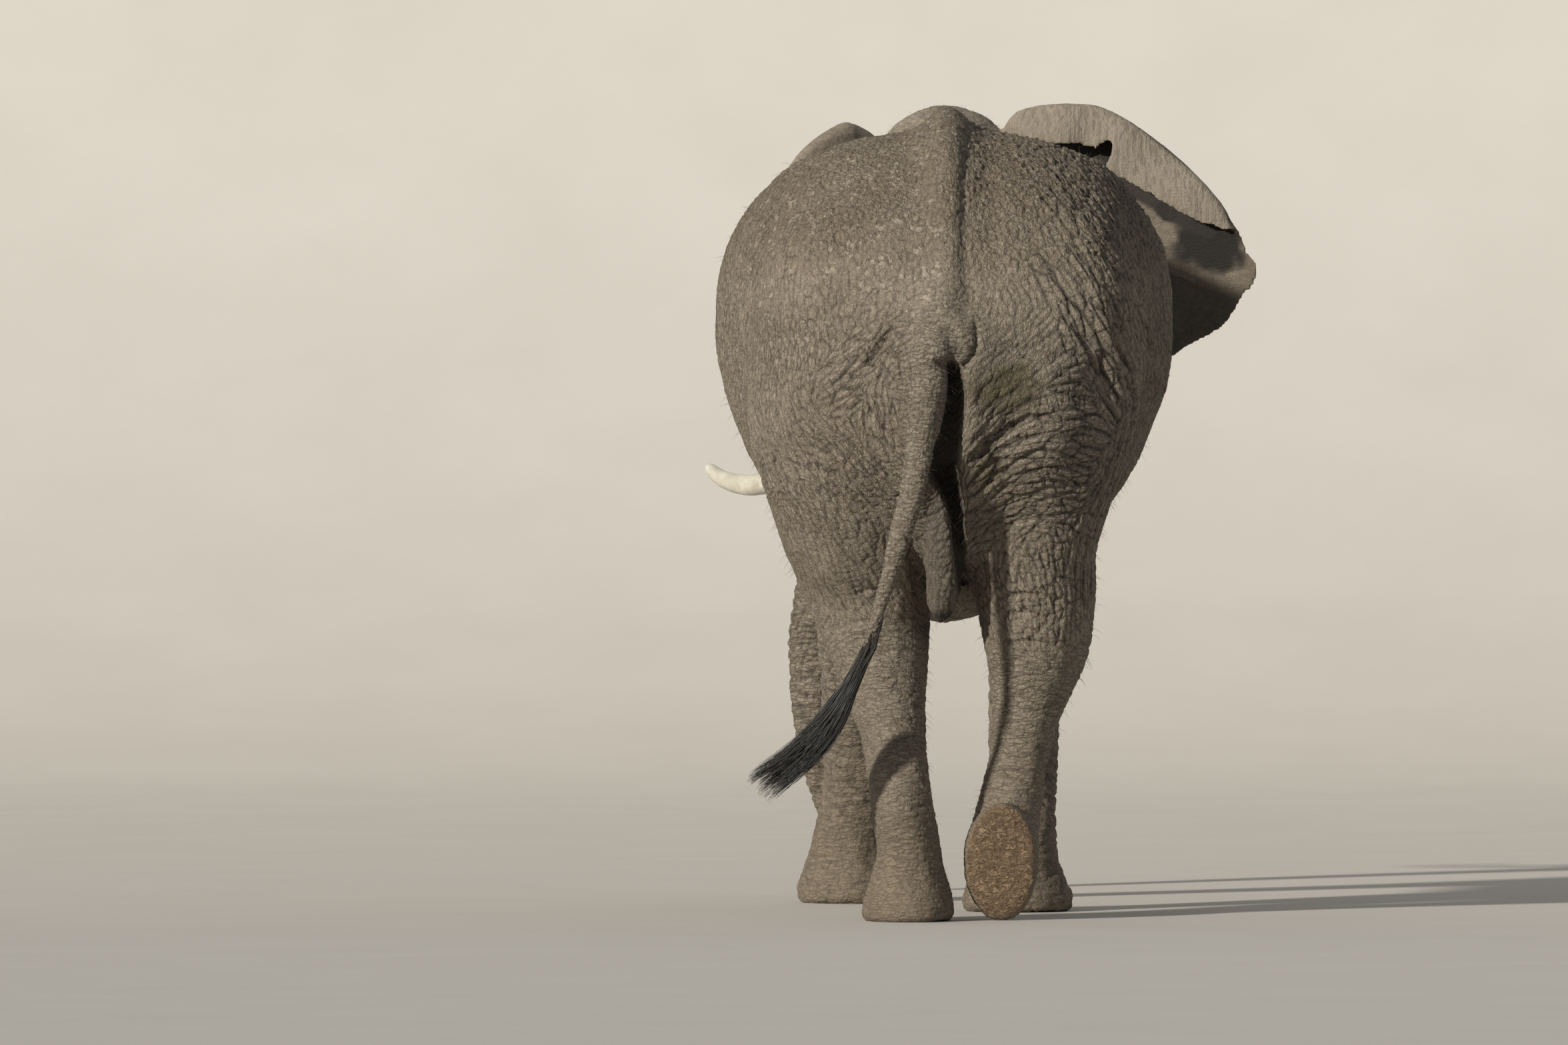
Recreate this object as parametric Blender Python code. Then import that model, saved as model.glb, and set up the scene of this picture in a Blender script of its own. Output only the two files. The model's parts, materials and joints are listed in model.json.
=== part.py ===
"""An adult African savanna elephant cow in mid stride, at life size.

The animal faces +Y and stands on z = 0. It is modelled whole, from lofted limbs and
muscle masses that one remesh joins, and is then parted into named pieces by thin cuts.
"""

import math

import bmesh
import bpy
import numpy as np
from mathutils import Matrix, Vector

# Driving dimensions, in metres.
GAP = 0.0003  # clearance between neighbouring pieces
VOXEL = 0.020  # cell of the remesh that joins the body
BODY_TRIANGLES = 3000  # of the joined body before it is parted
BACK_HEIGHT = 2.60  # ground to the highest point of the spine, over the hips
BELLY_HALF_WIDTH = 0.743
BELLY_SHIFT = -0.007  # the barrel swings to the side of the planted hind leg
BELLY_LOW = 0.93
HEAD_X, HEAD_Y = 0.05, 2.45  # where the head turns on the neck
HEAD_TURN = math.radians(25)  # to the animal's left
EYE_RADIUS = 0.0195
RING_POINTS = 24
SHARP_ANGLE = math.radians(40)  # edges sharper than this are left unsmoothed

LEFT, RIGHT = -1, 1


# ---------------------------------------------------------------- scene and helpers


def clear_scene():
    for obj in list(bpy.data.objects):
        bpy.data.objects.remove(obj)


def finish_material(name, colour, roughness):
    material = bpy.data.materials.new(name)
    material.use_nodes = True
    surface = material.node_tree.nodes["Principled BSDF"]
    surface.inputs["Base Color"].default_value = (*colour, 1.0)
    surface.inputs["Roughness"].default_value = roughness
    surface.inputs["Metallic"].default_value = 0.0
    return material


def object_from(name, mesh_builder):
    """A new object whose mesh is what mesh_builder leaves in an empty bmesh."""
    shape = bmesh.new()
    mesh_builder(shape)
    bmesh.ops.recalc_face_normals(shape, faces=shape.faces)
    mesh = bpy.data.meshes.new(name)
    shape.to_mesh(mesh)
    shape.free()
    obj = bpy.data.objects.new(name, mesh)
    bpy.context.scene.collection.objects.link(obj)
    return obj


def evaluated(obj):
    """Replaces an object's mesh by what its modifiers make of it, and drops them."""
    graph = bpy.context.evaluated_depsgraph_get()
    mesh = bpy.data.meshes.new_from_object(obj.evaluated_get(graph))
    obj.modifiers.clear()
    obj.data = mesh
    return obj


def joined(name, objects):
    """One object holding the meshes of several, still as overlapping shells."""

    def build(shape):
        for obj in objects:
            shape.from_mesh(obj.data)

    whole = object_from(name, build)
    for obj in objects:
        bpy.data.objects.remove(obj)
    return whole


def duplicate(obj, name):
    copy = bpy.data.objects.new(name, obj.data.copy())
    bpy.context.scene.collection.objects.link(copy)
    return copy


def swollen(obj, by=GAP):
    """A copy of a piece grown outwards by a clearance, to cut its neighbours with."""
    copy = duplicate(obj, obj.name + "_swollen")
    shape = bmesh.new()
    shape.from_mesh(copy.data)
    shape.normal_update()
    for vert, normal in [(v, v.normal.copy()) for v in shape.verts]:
        vert.co += normal * by
    shape.to_mesh(copy.data)
    shape.free()
    return copy


def boolean(obj, operation, cutter, solver="EXACT"):
    modifier = obj.modifiers.new(operation.lower(), "BOOLEAN")
    modifier.operation = operation
    modifier.solver = solver
    modifier.object = cutter
    evaluated(obj)
    bpy.data.objects.remove(cutter)
    return obj


# ---------------------------------------------------------------- lofts


def spline(rows, steps):
    """Rows of numbers with `steps` points between each two, on a Catmull-Rom curve."""
    rows = np.array(rows, float)
    padded = np.vstack([2 * rows[0] - rows[1], rows, 2 * rows[-1] - rows[-2]])
    points = []
    for a, b, c, d in zip(padded, padded[1:], padded[2:], padded[3:]):
        for t in np.arange(steps) / steps:
            points.append(
                0.5
                * (
                    2 * b
                    + (c - a) * t
                    + (2 * a - 5 * b + 4 * c - d) * t**2
                    + (3 * b - a - 3 * c + d) * t**3
                )
            )
    return np.array([*points, rows[-1]])


def skin_rings(name, rings, taper=0.45):
    """Bridges closed rings of points into a tube, with a rounded cap on each end."""

    def cap(ring, neighbour):
        middle = sum(ring, Vector()) / len(ring)
        inner = sum(neighbour, Vector()) / len(neighbour)
        reach = min((p - middle).length for p in ring) * taper
        outwards = (middle - inner).normalized() * reach
        return [middle + (p - middle) * 0.72 + outwards * 0.7 for p in ring], (
            middle + outwards
        )

    def build(shape):
        first, first_tip = cap(rings[0], rings[1])
        last, last_tip = cap(rings[-1], rings[-2])
        loops = [
            [shape.verts.new(p) for p in ring] for ring in (first, *rings, last)
        ]
        for lower, upper in zip(loops, loops[1:]):
            for i in range(len(lower)):
                j = (i + 1) % len(lower)
                shape.faces.new((lower[i], lower[j], upper[j], upper[i]))
        for loop, tip in ((loops[0], first_tip), (loops[-1], last_tip)):
            end = shape.verts.new(tip)
            for i in range(len(loop)):
                shape.faces.new((loop[i], loop[(i + 1) % len(loop)], end))

    return object_from(name, build)


def limb(name, stations, side=(1, 0, 0), steps=4, points=RING_POINTS, taper=0.45):
    """A tube through stations (x, y, z, half width, half depth). The half width lies
    along `side`, and each ring is square to the tube's own line."""
    rows = spline(stations, steps)
    centres = rows[:, :3]
    tangents = np.gradient(centres, axis=0)
    rings = []
    for centre, tangent, (across, along) in zip(centres, tangents, rows[:, 3:]):
        direction = Vector(tangent).normalized()
        u = Vector(side)
        u = (u - direction * u.dot(direction)).normalized()
        v = direction.cross(u)
        turns = [math.tau * i / points for i in range(points)]
        rings.append(
            [
                Vector(centre) + u * across * math.cos(t) + v * along * math.sin(t)
                for t in turns
            ]
        )
    return skin_rings(name, rings, taper)


def mass(name, centre, radii, turn=Matrix.Identity(3)):
    """An ellipsoid, for a muscle or a bone that lifts the skin."""

    def build(shape):
        bmesh.ops.create_uvsphere(shape, u_segments=24, v_segments=14, radius=1.0)
        scale = Matrix.Diagonal(Vector(radii)).to_4x4()
        place = Matrix.Translation(Vector(centre)) @ turn.to_4x4() @ scale
        bmesh.ops.transform(shape, matrix=place, verts=shape.verts)

    return object_from(name, build)


def face_point(forward, left, height):
    """A point in the turned head's own frame: forward of the neck joint, to the
    animal's left, and above the ground."""
    sine, cosine = math.sin(HEAD_TURN), math.cos(HEAD_TURN)
    return Vector(
        (
            HEAD_X - forward * sine - left * cosine,
            HEAD_Y + forward * cosine - left * sine,
            height,
        )
    )


HEAD_ROTATION = Matrix.Rotation(HEAD_TURN, 3, "Z")


def face_mass(name, forward, left, height, radii):
    """An ellipsoid on the head. Its radii run sideways, forwards and upwards."""
    return mass(name, face_point(forward, left, height), radii, HEAD_ROTATION)


def face_limb(name, stations, **options):
    """A limb on the head, with stations (forward, left, height, half width, depth)."""
    placed = [(*face_point(*row[:3]), *row[3:]) for row in stations]
    side = HEAD_ROTATION @ Vector((1, 0, 0))
    return limb(name, placed, side=side, **options)


# ---------------------------------------------------------------- torso and neck


def trunk_of_body():
    """The barrel: rings across the body, each with its own upper and lower curve."""
    # y, top, bottom, half width, height of the widest line, upper and lower power
    stations = [
        (-0.26, 1.98, 1.46, 0.20, 1.76, 2.0, 2.0),
        (-0.14, 2.20, 1.30, 0.42, 1.82, 2.2, 2.0),
        (0.06, 2.39, 1.16, 0.57, 1.92, 2.4, 2.0),
        (0.32, 2.505, 1.06, 0.645, 1.96, 2.6, 2.0),
        (0.62, 2.49, 0.98, 0.695, 1.90, 2.8, 1.8),
        (1.00, 2.43, BELLY_LOW, BELLY_HALF_WIDTH, 1.86, 2.8, 1.65),
        (1.35, 2.41, 0.97, 0.680, 1.80, 2.5, 1.7),
        (1.70, 2.45, 1.07, 0.560, 1.76, 2.2, 1.9),
        (1.98, 2.43, 1.22, 0.440, 1.78, 2.0, 2.0),
        (2.14, 2.34, 1.38, 0.320, 1.84, 2.0, 2.0),
    ]
    rings = []
    for y, top, bottom, width, widest, upper, lower in spline(stations, 4):
        ring = []
        for i in range(2 * RING_POINTS):
            turn = math.pi * i / RING_POINTS
            c, s = math.cos(turn), math.sin(turn)
            power = upper if s >= 0 else lower
            reach = (abs(c) ** power + abs(s) ** power) ** (-1 / power)
            height = top - widest if s >= 0 else widest - bottom
            across = BELLY_SHIFT + width * reach * c
            ring.append(Vector((across, y, widest + height * reach * s)))
        rings.append(ring)
    return skin_rings("barrel", rings)


def torso_masses():
    """The spine, hips, shoulders, groin and neck, which shape the barrel's surface."""
    pieces = [trunk_of_body()]
    ridge = 0.085
    peak = BACK_HEIGHT - ridge
    pieces.append(
        limb(
            "spine",
            [
                (0.0, -0.20, 1.90, 0.080, 0.070),
                (0.0, -0.12, 2.12, 0.085, 0.075),
                (0.0, 0.02, 2.32, 0.090, ridge),
                (0.0, 0.20, 2.46, 0.080, ridge),
                (0.0, 0.40, peak, 0.070, ridge),
                (0.0, 0.72, 2.445, 0.070, ridge),
                (0.0, 1.15, 2.365, 0.090, ridge),
                (0.0, 1.55, 2.385, 0.110, ridge),
                (0.0, 1.85, 2.400, 0.130, ridge),
            ],
        )
    )
    for side in (LEFT, RIGHT):
        pieces.append(mass("hip_bone", (0.40 * side, 0.48, 2.25), (0.19, 0.24, 0.19)))
        pieces.append(mass("haunch", (0.33 * side, 0.14, 1.92), (0.28, 0.33, 0.40)))
        pieces.append(mass("buttock", (0.25 * side, -0.03, 1.66), (0.22, 0.23, 0.36)))
        pieces.append(mass("blade", (0.30 * side, 1.66, 1.98), (0.18, 0.28, 0.37)))
        pieces.append(mass("arm", (0.33 * side, 1.78, 1.62), (0.19, 0.28, 0.32)))
    pieces.append(
        limb(
            "neck",
            [
                (0.00, 1.62, 1.92, 0.48, 0.50),
                (0.01, 1.95, 1.95, 0.40, 0.47),
                (0.03, 2.22, 2.00, 0.325, 0.43),
                (0.04, 2.50, 2.04, 0.265, 0.39),
            ],
        )
    )
    pieces.append(mass("breast", (0.0, 1.98, 1.46), (0.27, 0.22, 0.30)))
    pieces.append(
        limb(
            "groin_fold",
            [
                (0.000, -0.14, 1.66, 0.080, 0.07),
                (0.000, -0.13, 1.45, 0.075, 0.09),
                (-0.005, -0.05, 1.22, 0.065, 0.11),
                (-0.012, 0.06, 1.06, 0.058, 0.11),
                (-0.022, 0.14, 0.985, 0.036, 0.07),
            ],
        )
    )
    return pieces


# ---------------------------------------------------------------- legs

FOOT_STANCE = {  # where each sole stands: x, y, half width, half length
    "forefoot_left": (-0.315, 2.13, 0.180, 0.200),
    "forefoot_right": (0.227, 1.21, 0.182, 0.200),
    "hindfoot_left": (-0.122, 0.205, 0.152, 0.205),
}


def standing_foot(name, ankle_height):
    """The last stations of a leg that stands on its sole."""
    x, y, width, length = FOOT_STANCE[name]
    return [
        (x, y - 0.035, ankle_height, width * 0.68, length * 0.64),
        (x, y - 0.010, ankle_height * 0.62, width * 0.79, length * 0.83),
        (x, y, 0.075, width * 0.94, length * 0.985),
        (x, y, 0.020, width, length),
        (x, y, -0.040, width * 0.97, length * 0.97),
    ]


def legs():
    pieces = []
    pieces.append(
        limb(
            "foreleg_left",
            [
                (-0.31, 1.70, 1.80, 0.18, 0.28),
                (-0.32, 1.70, 1.50, 0.20, 0.27),
                (-0.31, 1.73, 1.22, 0.185, 0.235),
                (-0.295, 1.83, 0.96, 0.140, 0.165),
                (-0.290, 1.96, 0.64, 0.122, 0.138),
                (-0.293, 2.05, 0.40, 0.113, 0.122),
                *standing_foot("forefoot_left", 0.23),
            ],
            taper=0.02,
        )
    )
    pieces.append(
        limb(
            "foreleg_right",
            [
                (0.31, 1.64, 1.80, 0.18, 0.28),
                (0.32, 1.60, 1.50, 0.20, 0.27),
                (0.30, 1.52, 1.22, 0.185, 0.235),
                (0.270, 1.44, 0.94, 0.138, 0.165),
                (0.252, 1.34, 0.62, 0.118, 0.136),
                (0.245, 1.24, 0.38, 0.113, 0.122),
                *standing_foot("forefoot_right", 0.22),
            ],
            taper=0.02,
        )
    )
    pieces.append(
        limb(
            "hindleg_left",
            [
                (-0.30, 0.26, 2.02, 0.22, 0.28),
                (-0.315, 0.22, 1.84, 0.285, 0.36),
                (-0.320, 0.20, 1.62, 0.320, 0.41),
                (-0.295, 0.25, 1.34, 0.270, 0.36),
                (-0.250, 0.33, 1.08, 0.212, 0.285),
                (-0.210, 0.29, 0.84, 0.160, 0.205),
                (-0.172, 0.18, 0.61, 0.108, 0.138),
                (-0.148, 0.12, 0.42, 0.100, 0.128),
                *standing_foot("hindfoot_left", 0.23),
            ],
            taper=0.02,
        )
    )
    pieces.append(
        limb(
            "hindleg_right",
            [
                (0.30, 0.26, 2.02, 0.22, 0.28),
                (0.315, 0.25, 1.84, 0.285, 0.36),
                (0.315, 0.235, 1.62, 0.300, 0.40),
                (0.282, 0.265, 1.36, 0.245, 0.375),
                (0.272, 0.285, 1.16, 0.203, 0.320),
                (0.284, 0.305, 1.02, 0.194, 0.270),
                (0.285, 0.328, 0.86, 0.170, 0.210),
                (0.258, 0.348, 0.68, 0.118, 0.150),
                (0.232, 0.360, 0.52, 0.096, 0.125),
                (0.200, 0.368, 0.37, 0.105, 0.130),
                (0.182, 0.325, 0.255, 0.115, 0.175),
                (0.173, 0.235, 0.193, 0.121, 0.212),
                (0.173, 0.190, 0.180, 0.118, 0.200),
            ],
            taper=0.03,
        )
    )
    return pieces


# ---------------------------------------------------------------- head

TRUNK_LINE = [  # forward, left, height, half width, half depth
    (0.31, 0.00, 2.08, 0.205, 0.20),
    (0.42, 0.00, 1.91, 0.188, 0.19),
    (0.525, 0.005, 1.71, 0.162, 0.168),
    (0.595, 0.035, 1.50, 0.136, 0.145),
    (0.635, 0.115, 1.28, 0.118, 0.122),
    (0.650, 0.188, 1.05, 0.105, 0.108),
    (0.655, 0.228, 0.82, 0.094, 0.097),
    (0.665, 0.228, 0.60, 0.082, 0.084),
    (0.685, 0.192, 0.42, 0.070, 0.072),
    (0.720, 0.140, 0.28, 0.060, 0.061),
    (0.768, 0.090, 0.20, 0.051, 0.051),
]


def head_masses():
    pieces = [
        face_mass("dome", 0.13, 0, 2.352, (0.240, 0.30, 0.262)),
        face_mass("forehead", 0.27, 0, 2.24, (0.222, 0.215, 0.28)),
        face_mass("skull", 0.12, 0, 2.03, (0.240, 0.33, 0.34)),
        face_mass("throat", -0.02, 0, 1.72, (0.21, 0.28, 0.24)),
        face_limb("trunk", TRUNK_LINE, taper=0.1),
        face_limb(
            "jaw",
            [
                (0.00, 0, 1.69, 0.190, 0.165),
                (0.17, 0, 1.63, 0.155, 0.140),
                (0.28, 0, 1.565, 0.112, 0.105),
                (0.36, 0, 1.520, 0.068, 0.062),
            ],
        ),
    ]
    for height, forward in ((0.205, 0.805), (0.165, 0.775)):
        pieces.append(face_mass("finger", forward, 0.07, height, (0.03, 0.04, 0.022)))
    for side in (-1, 1):
        pieces += [
            face_mass("cheek", 0.22, 0.175 * side, 1.92, (0.105, 0.24, 0.17)),
            face_mass("brow", 0.33, 0.165 * side, 2.12, (0.080, 0.13, 0.075)),
            face_mass("jaw_muscle", 0.08, 0.150 * side, 1.76, (0.105, 0.19, 0.21)),
            face_mass("lip", 0.31, 0.115 * side, 1.69, (0.065, 0.15, 0.085)),
            face_limb(
                "tusk_sheath",
                [
                    (0.34, 0.120 * side, 2.00, 0.090, 0.10),
                    (0.46, 0.145 * side, 1.81, 0.086, 0.09),
                    (0.565, 0.165 * side, 1.645, 0.070, 0.072),
                ],
                taper=0.3,
            ),
        ]
    return pieces


def tusk(name, side):
    """A tusk that leaves its sheath forwards and down, and curves out and up."""
    line = [
        (0.50, 0.157, 1.730, 0.046),
        (0.62, 0.182, 1.580, 0.046),
        (0.76, 0.206, 1.455, 0.044),
        (0.92, 0.240, 1.375, 0.041),
        (1.06, 0.285, 1.348, 0.037),
        (1.18, 0.325, 1.368, 0.031),
        (1.245, 0.345, 1.404, 0.023),
    ]
    stations = [(f, l * side, h, r, r) for f, l, h, r in line]
    return face_limb(name, stations, steps=2, points=8, taper=0.9)


def eye(name, side, head):
    """The eyeball, sunk in the side of the head under the brow."""
    start = face_point(0.38, 0.60 * side, 2.055)
    inwards = (face_point(0.38, 0.0, 2.055) - start).normalized()
    hit, surface, outwards, _ = head.ray_cast(start, inwards)
    centre = surface - outwards * EYE_RADIUS * 0.45

    def build(shape):
        bmesh.ops.create_icosphere(shape, subdivisions=2, radius=EYE_RADIUS)
        bmesh.ops.translate(shape, vec=centre, verts=shape.verts)

    return object_from(name, build)


# ---------------------------------------------------------------- ears

EAR_MARGIN = [  # outwards from the root line and up from its middle, clockwise
    (0.00, 0.36),
    (0.08, 0.460),
    (0.22, 0.485),
    (0.34, 0.462),
    (0.45, 0.400),
    (0.56, 0.300),
    (0.67, 0.160),
    (0.755, 0.030),
    (0.785, -0.055),
    (0.750, -0.140),
    (0.62, -0.240),
    (0.50, -0.305),
    (0.42, -0.430),
    (0.35, -0.560),
    (0.27, -0.640),
    (0.18, -0.645),
    (0.09, -0.520),
    (0.02, -0.340),
]
EAR_FOLD = [(0.0, 0.12), (0.1, 0.15), (0.30, 0.145), (0.38, 0.11), (0.50, 0.0)]
EAR_THICKNESS = 0.016
EAR_ROLL = 0.034  # half the arc of hide that turns over at the fold
EAR_RIPPLE = 0.018  # how far the margin waves to each side


def ear(name, root_top, root_bottom, outwards, backwards, tilt, cup):
    """A fan of skin from a root line on the head to a wide margin whose upper edge is
    folded over. `outwards` points from the root to the far margin, and `backwards`
    points out of the ear's rear face, the side that the upper edge folds to."""
    columns, rows = 16, 4
    upwards = (root_top - root_bottom).normalized()
    middle = (root_top + root_bottom) / 2
    line = spline(EAR_MARGIN, 6)
    steps = np.linalg.norm(np.diff(line, axis=0), axis=1)
    length = np.concatenate([[0], np.cumsum(steps)])
    fold = np.array(EAR_FOLD)

    def point(share, reach):
        out, high = (
            np.interp(share * length[-1], length, line[:, axis]) for axis in (0, 1)
        )
        high += tilt * (out - 0.38) * max(0.0, min(1.0, high / 0.3))
        start = root_top.lerp(root_bottom, share)
        end = middle + outwards * out + upwards * high
        bow = math.sin(math.pi * min(reach, 1.0) * 0.9) * math.sin(math.pi * share)
        ripple = EAR_RIPPLE * reach**2 * math.sin(17 * share + 1.0)
        return start.lerp(end, reach) + backwards * (cup * bow + ripple)

    def column_at(share):
        """Points from the root to the margin, then over the roll and down the flap."""
        edge = point(share, 1.0)
        over = (edge - point(share, 0.9)).normalized()
        deep = float(np.interp(share, fold[:, 0], fold[:, 1]))
        folded = min(1.0, deep / 0.09)
        spare = EAR_ROLL * (0.7 + 1.3 * (1 - folded)) / (edge - root_top).length
        column = [point(share, (1 - spare) * r / rows) for r in range(rows + 1)]
        place = column[-1]
        flap = max(deep / 2, 0.004)
        for turn, step in ((45, EAR_ROLL), (135, EAR_ROLL), (178, flap), (178, flap)):
            angle = math.radians(turn) * folded
            place = place + (over * math.cos(angle) + backwards * math.sin(angle)) * step
            column.append(place)
        return column

    def build(shape):
        grid = [
            [shape.verts.new(p) for p in column_at(c / columns)]
            for c in range(columns + 1)
        ]
        for left, right in zip(grid, grid[1:]):
            for r in range(len(left) - 1):
                shape.faces.new((left[r], right[r], right[r + 1], left[r + 1]))

    sheet = object_from(name, build)
    hide = sheet.modifiers.new("hide", "SOLIDIFY")
    hide.thickness = EAR_THICKNESS
    hide.offset = 0.0
    evaluated(sheet)
    shape = bmesh.new()
    shape.from_mesh(sheet.data)
    bmesh.ops.recalc_face_normals(shape, faces=shape.faces)
    shape.to_mesh(sheet.data)
    shape.free()
    return sheet


def ears():
    """The right ear is held out sideways, and the left one is laid along the neck."""
    spread = math.radians(10)  # of the right ear, back from straight out
    laid = math.radians(43)  # of the left ear, out from straight back
    right_out = Vector((math.cos(spread), -math.sin(spread), 0))
    left_out = Vector((-math.sin(laid), -math.cos(laid), 0))
    right = ear(
        "ear_right",
        face_point(0.00, -0.19, 2.43),
        face_point(0.04, -0.23, 1.81),
        outwards=right_out,
        backwards=Vector((right_out.y, -right_out.x, 0)),
        tilt=0.0,
        cup=-0.05,
    )
    left = ear(
        "ear_left",
        face_point(0.00, 0.20, 2.41),
        face_point(0.04, 0.24, 1.79),
        outwards=left_out,
        backwards=Vector((-left_out.y, left_out.x, 0)),
        tilt=0.35,
        cup=-0.04,
    )
    return right, left


# ---------------------------------------------------------------- tail

TAIL_LINE = [  # x, y, z, radius
    (-0.004, -0.105, 2.04, 0.070),
    (-0.020, -0.225, 1.91, 0.070),
    (-0.053, -0.318, 1.77, 0.058),
    (-0.076, -0.352, 1.61, 0.047),
    (-0.088, -0.352, 1.48, 0.042),
    (-0.113, -0.342, 1.35, 0.038),
    (-0.148, -0.327, 1.23, 0.034),
    (-0.176, -0.308, 1.12, 0.029),
    (-0.209, -0.288, 1.01, 0.024),
    (-0.240, -0.268, 0.91, 0.020),
    (-0.272, -0.250, 0.83, 0.017),
]
TAIL_SPLIT = 1.30  # height where the root ends and the shaft starts
BRUSH_LINE = [  # x, y, z, half width, half depth
    (-0.277, -0.248, 0.818, 0.020, 0.018),
    (-0.325, -0.232, 0.745, 0.050, 0.030),
    (-0.415, -0.210, 0.635, 0.058, 0.034),
    (-0.500, -0.190, 0.535, 0.055, 0.032),
    (-0.575, -0.172, 0.455, 0.045, 0.018),
]


def tail():
    rows = [(x, y, z, r, r) for x, y, z, r in TAIL_LINE]
    root = limb("tail_root", rows, steps=1, points=12, taper=0.1)
    shaft = part_off(root, "tail_shaft", (-1, -1, 0), (1, 1, TAIL_SPLIT))
    brush = limb("tail_brush", BRUSH_LINE, steps=2, points=10, taper=0.2)
    return root, shaft, brush


# ---------------------------------------------------------------- nails

NAILS = {  # bearings of each foot's nails from straight ahead, in degrees
    "forefoot_left": (-66, -24, 18, 58),
    "forefoot_right": (-58, -18, 24, 66),
    "hindfoot_left": (-48, -4, 40),
}
NAIL_SIZE = (0.034, 0.014, 0.032)  # half width, half depth, half height
NAIL_HEIGHT = 0.050  # of a nail's middle over the ground
RAISED_TOES = Vector((0.175, 0.31, 0.060))  # behind the raised foot's nails
RAISED_BEARINGS = (-44, 0, 44)
RAISED_SCALE = 0.9  # of the raised foot's smaller nails
OUTSIDE = 0.3  # from a foot's middle to clear outside it


def nail(name, centre, turn, scale=1.0):
    """A low dome of horn, set in the front rim of a foot."""

    def build(shape):
        bmesh.ops.create_uvsphere(shape, u_segments=8, v_segments=4, radius=1.0)
        size = Matrix.Diagonal(Vector(NAIL_SIZE) * scale).to_4x4()
        place = Matrix.Translation(centre) @ turn.to_4x4() @ size
        bmesh.ops.transform(shape, matrix=place, verts=shape.verts)

    return object_from(name, build)


def nails(body):
    """Each foot's nails, placed where a ray from outside meets the foot."""
    made = []
    for foot, bearings in NAILS.items():
        x, y, width, length = FOOT_STANCE[foot]
        for number, bearing in enumerate(bearings, 1):
            angle = math.radians(bearing)
            ahead = Vector((math.sin(angle), math.cos(angle), 0))
            target = Vector((x, y, NAIL_HEIGHT))
            _, surface, _, _ = body.ray_cast(target + ahead * OUTSIDE, -ahead)
            turn = Matrix.Rotation(-angle, 3, "Z") @ Matrix.Rotation(0.10, 3, "X")
            made.append(nail(f"nail_{foot}_{number}", surface, turn))
    # The raised foot's toes point at the ground.
    for number, bearing in enumerate(RAISED_BEARINGS, 1):
        angle = math.radians(bearing)
        ahead = Vector((math.sin(angle), math.cos(angle), 0.10)).normalized()
        _, surface, _, _ = body.ray_cast(RAISED_TOES + ahead * OUTSIDE, -ahead)
        turn = Matrix.Rotation(-angle, 3, "Z") @ Matrix.Rotation(0.15, 3, "X")
        toenail = nail(f"nail_hindfoot_right_{number}", surface, turn, RAISED_SCALE)
        made.append(toenail)
    return made


# ---------------------------------------------------------------- joining and parting


def mend(obj):
    """Cuts out any vertex where faces pinch together, and fills the hole it leaves."""
    shape = bmesh.new()
    shape.from_mesh(obj.data)
    pinched = {v for e in shape.edges if not e.is_manifold for v in e.verts}
    pinched |= {v for v in shape.verts if not v.is_manifold}
    bmesh.ops.delete(shape, geom=list(pinched), context="VERTS")
    open_edges = [e for e in shape.edges if e.is_boundary]
    bmesh.ops.holes_fill(shape, edges=open_edges, sides=0)
    bmesh.ops.triangulate(shape, faces=shape.faces)
    bmesh.ops.recalc_face_normals(shape, faces=shape.faces)
    shape.to_mesh(obj.data)
    shape.free()


def joined_body():
    """One closed skin over the torso, legs and head, evened where muscles meet."""
    body = joined("body", torso_masses() + legs() + head_masses())
    remesh = body.modifiers.new("join", "REMESH")
    remesh.mode = "VOXEL"
    remesh.voxel_size = VOXEL
    evaluated(body)
    broad = body.vertex_groups.new(name="broad")
    for vert in body.data.vertices:
        x, y, z = vert.co
        floor = 1.15 + 1.2 * max(0.0, y - 2.2)
        weight = min(1.0, max(0.0, (z - floor) / 0.25))
        off_spine = min(1.0, abs(x) / 0.16)
        on_head = min(1.0, max(0.0, (y - 2.25) / 0.15))
        weight *= min(0.25 + 0.75 * off_spine, 1.0) * (1 - 0.7 * on_head)
        broad.add([vert.index], weight, "REPLACE")
    even = body.modifiers.new("even", "SMOOTH")
    even.vertex_group = "broad"
    even.factor = 0.5
    even.iterations = 50
    smooth = body.modifiers.new("smooth", "SMOOTH")
    smooth.factor = 0.5
    smooth.iterations = 8
    thin = body.modifiers.new("thin", "DECIMATE")
    thin.ratio = BODY_TRIANGLES / (2 * len(body.data.polygons))
    evaluated(body)
    body.vertex_groups.clear()
    mend(body)
    return body


def region(low, high, origin=(0, 0, 0), turn=Matrix.Identity(3), grow=0.0):
    """A box cutter between two corners of a frame set at origin and turned."""

    def build(shape):
        bmesh.ops.create_cube(shape, size=1.0)
        size = Vector(high) - Vector(low) + Vector((2, 2, 2)) * grow
        middle = (Vector(high) + Vector(low)) / 2
        scale = Matrix.Translation(middle) @ Matrix.Diagonal(size).to_4x4()
        place = Matrix.Translation(Vector(origin)) @ turn.to_4x4()
        bmesh.ops.transform(shape, matrix=place @ scale, verts=shape.verts)

    return object_from("region", build)


def part_off(body, name, low, high, **frame):
    """Takes the share of the body inside a box away as a piece of its own."""
    piece = boolean(duplicate(body, name), "INTERSECT", region(low, high, **frame))
    boolean(body, "DIFFERENCE", region(low, high, grow=GAP, **frame))
    return piece


def cut_by(piece, cutter, solver="EXACT"):
    """Takes a neighbour's shape, with its clearance, out of a piece."""
    return boolean(piece, "DIFFERENCE", swollen(cutter), solver)


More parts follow.
